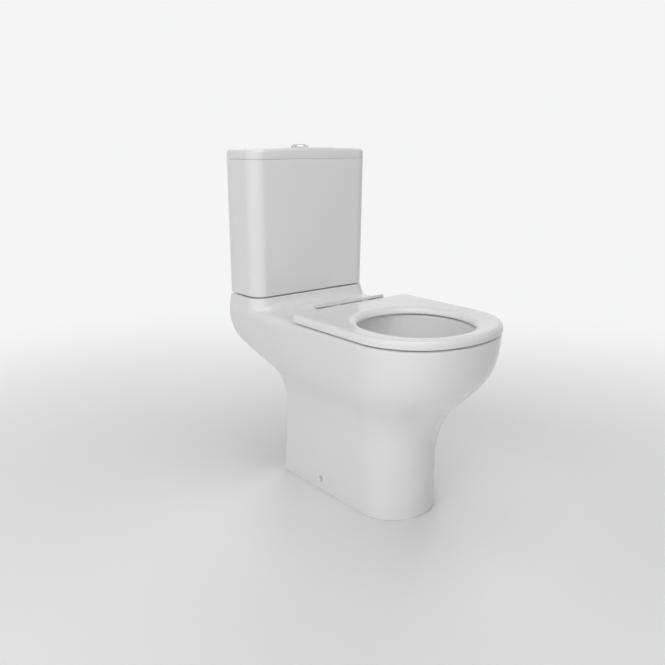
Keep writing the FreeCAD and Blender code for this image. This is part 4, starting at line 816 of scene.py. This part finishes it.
seat = make_piece("seat_ring_moulding", [seat_ring(), seat_hook(HOOK_X), seat_hook(-HOOK_X)], seat_plastic)
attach(seat, "seat")
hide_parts("seat_ring")

PALE, PALE_GREY = (0.62, 0.62, 0.6, 1), (0.55, 0.55, 0.53, 1)

buffer_rubber, _ = mottled_finish(
    "pale_buffer_rubber", PALE, PALE_GREY,
    drift=(120, 3), roughness=(500, 3, 0.5, 0.65), ripple=(1500, 2, 0.15, 0.0001))
coat_nodes(
    buffer_rubber, "seat_buffer_front_left", "seat_buffer_front_right",
    "seat_buffer_rear_left", "seat_buffer_rear_right")

# Studio: a plain pale floor that fades into a pale backdrop, large soft lamps at the left, above and on
# the far side, and a narrow one for the glaze's highlights. The camera stands where the photograph was
# taken. It tilts down and is shifted to the same framing, so that other views stay in the frame.

FLOOR_HALF, FLOOR_PAINT, BACKDROP = 7.0, (0.94, 0.94, 0.94, 1), (0.91, 0.912, 0.915, 1)

mesh = bpy.data.meshes.new("studio_floor")
floor_corners = FLOOR_HALF * np.array([(-1, -1, 0), (1, -1, 0), (1, 1, 0), (-1, 1, 0)])
mesh.from_pydata(floor_corners.tolist(), [], [(0, 1, 2, 3)])
floor = bpy.data.objects.new("studio_floor", mesh)
bpy.context.scene.collection.objects.link(floor)
floor_paint, tree, shader, place = new_finish("pale_floor_paint")
shader.inputs["Base Color"].default_value = FLOOR_PAINT
shader.inputs["Roughness"].default_value = 0.7


def seen_directly(tree):
    """1 for rays from the camera, mirrors and glass, and 0 for the light that falls on things."""
    path = tree.nodes.new("ShaderNodeLightPath")
    seen = path.outputs["Is Camera Ray"]
    for kind in ("Is Glossy Ray", "Is Transmission Ray"):
        either = tree.nodes.new("ShaderNodeMath")
        either.operation = "MAXIMUM"
        tree.links.new(seen, either.inputs[0])
        tree.links.new(path.outputs[kind], either.inputs[1])
        seen = either.outputs["Value"]
    return seen


glow = tree.nodes.new("ShaderNodeEmission")
glow.inputs["Color"].default_value = BACKDROP
reach = tree.nodes.new("ShaderNodeVectorMath")
reach.operation = "LENGTH"
tree.links.new(place, reach.inputs[0])
fade = tree.nodes.new("ShaderNodeMapRange")
fade.interpolation_type = "SMOOTHSTEP"
fade.inputs["From Min"].default_value = 0.3
fade.inputs["From Max"].default_value = 2.2
tree.links.new(reach.outputs["Value"], fade.inputs["Value"])
seen = tree.nodes.new("ShaderNodeMath")
seen.operation = "MULTIPLY"
tree.links.new(fade.outputs["Result"], seen.inputs[0])
tree.links.new(seen_directly(tree), seen.inputs[1])
mix = tree.nodes.new("ShaderNodeMixShader")
tree.links.new(seen.outputs["Value"], mix.inputs["Fac"])
tree.links.new(shader.outputs["BSDF"], mix.inputs[1])
tree.links.new(glow.outputs["Emission"], mix.inputs[2])
tree.links.new(mix.outputs["Shader"], tree.nodes["Material Output"].inputs["Surface"])
mesh.materials.append(floor_paint)

world = bpy.data.worlds.new("studio")
world.use_nodes = True
bpy.context.scene.world = world
tree = world.node_tree
room_light = tree.nodes["Background"]
room_light.inputs["Color"].default_value = (0.99, 0.99, 1, 1)
room_light.inputs["Strength"].default_value = 0.13
backdrop = tree.nodes.new("ShaderNodeBackground")
backdrop.inputs["Color"].default_value = BACKDROP
mix = tree.nodes.new("ShaderNodeMixShader")
tree.links.new(seen_directly(tree), mix.inputs["Fac"])
tree.links.new(room_light.outputs["Background"], mix.inputs[1])
tree.links.new(backdrop.outputs["Background"], mix.inputs[2])
tree.links.new(mix.outputs["Shader"], tree.nodes["World Output"].inputs["Surface"])


def soft_light(name, location, aim_z, size, watts):
    """Rectangular area light at a place, turned to a height on the toilet's upright middle line."""
    data = bpy.data.lights.new(name, "AREA")
    data.shape = "RECTANGLE"
    data.size, data.size_y = size
    data.energy = watts
    lamp = bpy.data.objects.new(name, data)
    bpy.context.scene.collection.objects.link(lamp)
    lamp.location = location
    x, y, z = location
    lamp.rotation_euler = (np.arctan2(np.hypot(x, y), z - aim_z), 0, np.arctan2(x, -y))
    return lamp


key_lamp = soft_light("key", (-2.25, -1.65, 1.7), aim_z=0.4, size=(2.4, 2.4), watts=44)
far_lamp = soft_light("far_side", (2.1, 2.0, 1.05), aim_z=0.45, size=(1.8, 1.5), watts=40)
soft_light("top", (0.0, -0.4, 3.2), aim_z=0.45, size=(2.4, 2.4), watts=26)
soft_light("strip", (-2.3, -0.3, 1.9), aim_z=0.45, size=(0.4, 1.7), watts=5)
key_lamp.visible_glossy = False
far_lamp.visible_glossy = False

TILT_DOWN, TURN = 8, -39.1601
camera_data = bpy.data.cameras.new("camera")
camera_data.lens = 40.3122
camera_data.shift_x, camera_data.shift_y = -0.0026, -0.1303
camera = bpy.data.objects.new("camera", camera_data)
bpy.context.scene.collection.objects.link(camera)
camera.location = (-1.14513, -1.27387, 0.8335)
camera.rotation_euler = (np.radians(90 - TILT_DOWN), 0, np.radians(TURN))
bpy.context.scene.camera = camera
bpy.context.scene.view_settings.view_transform = "Standard"
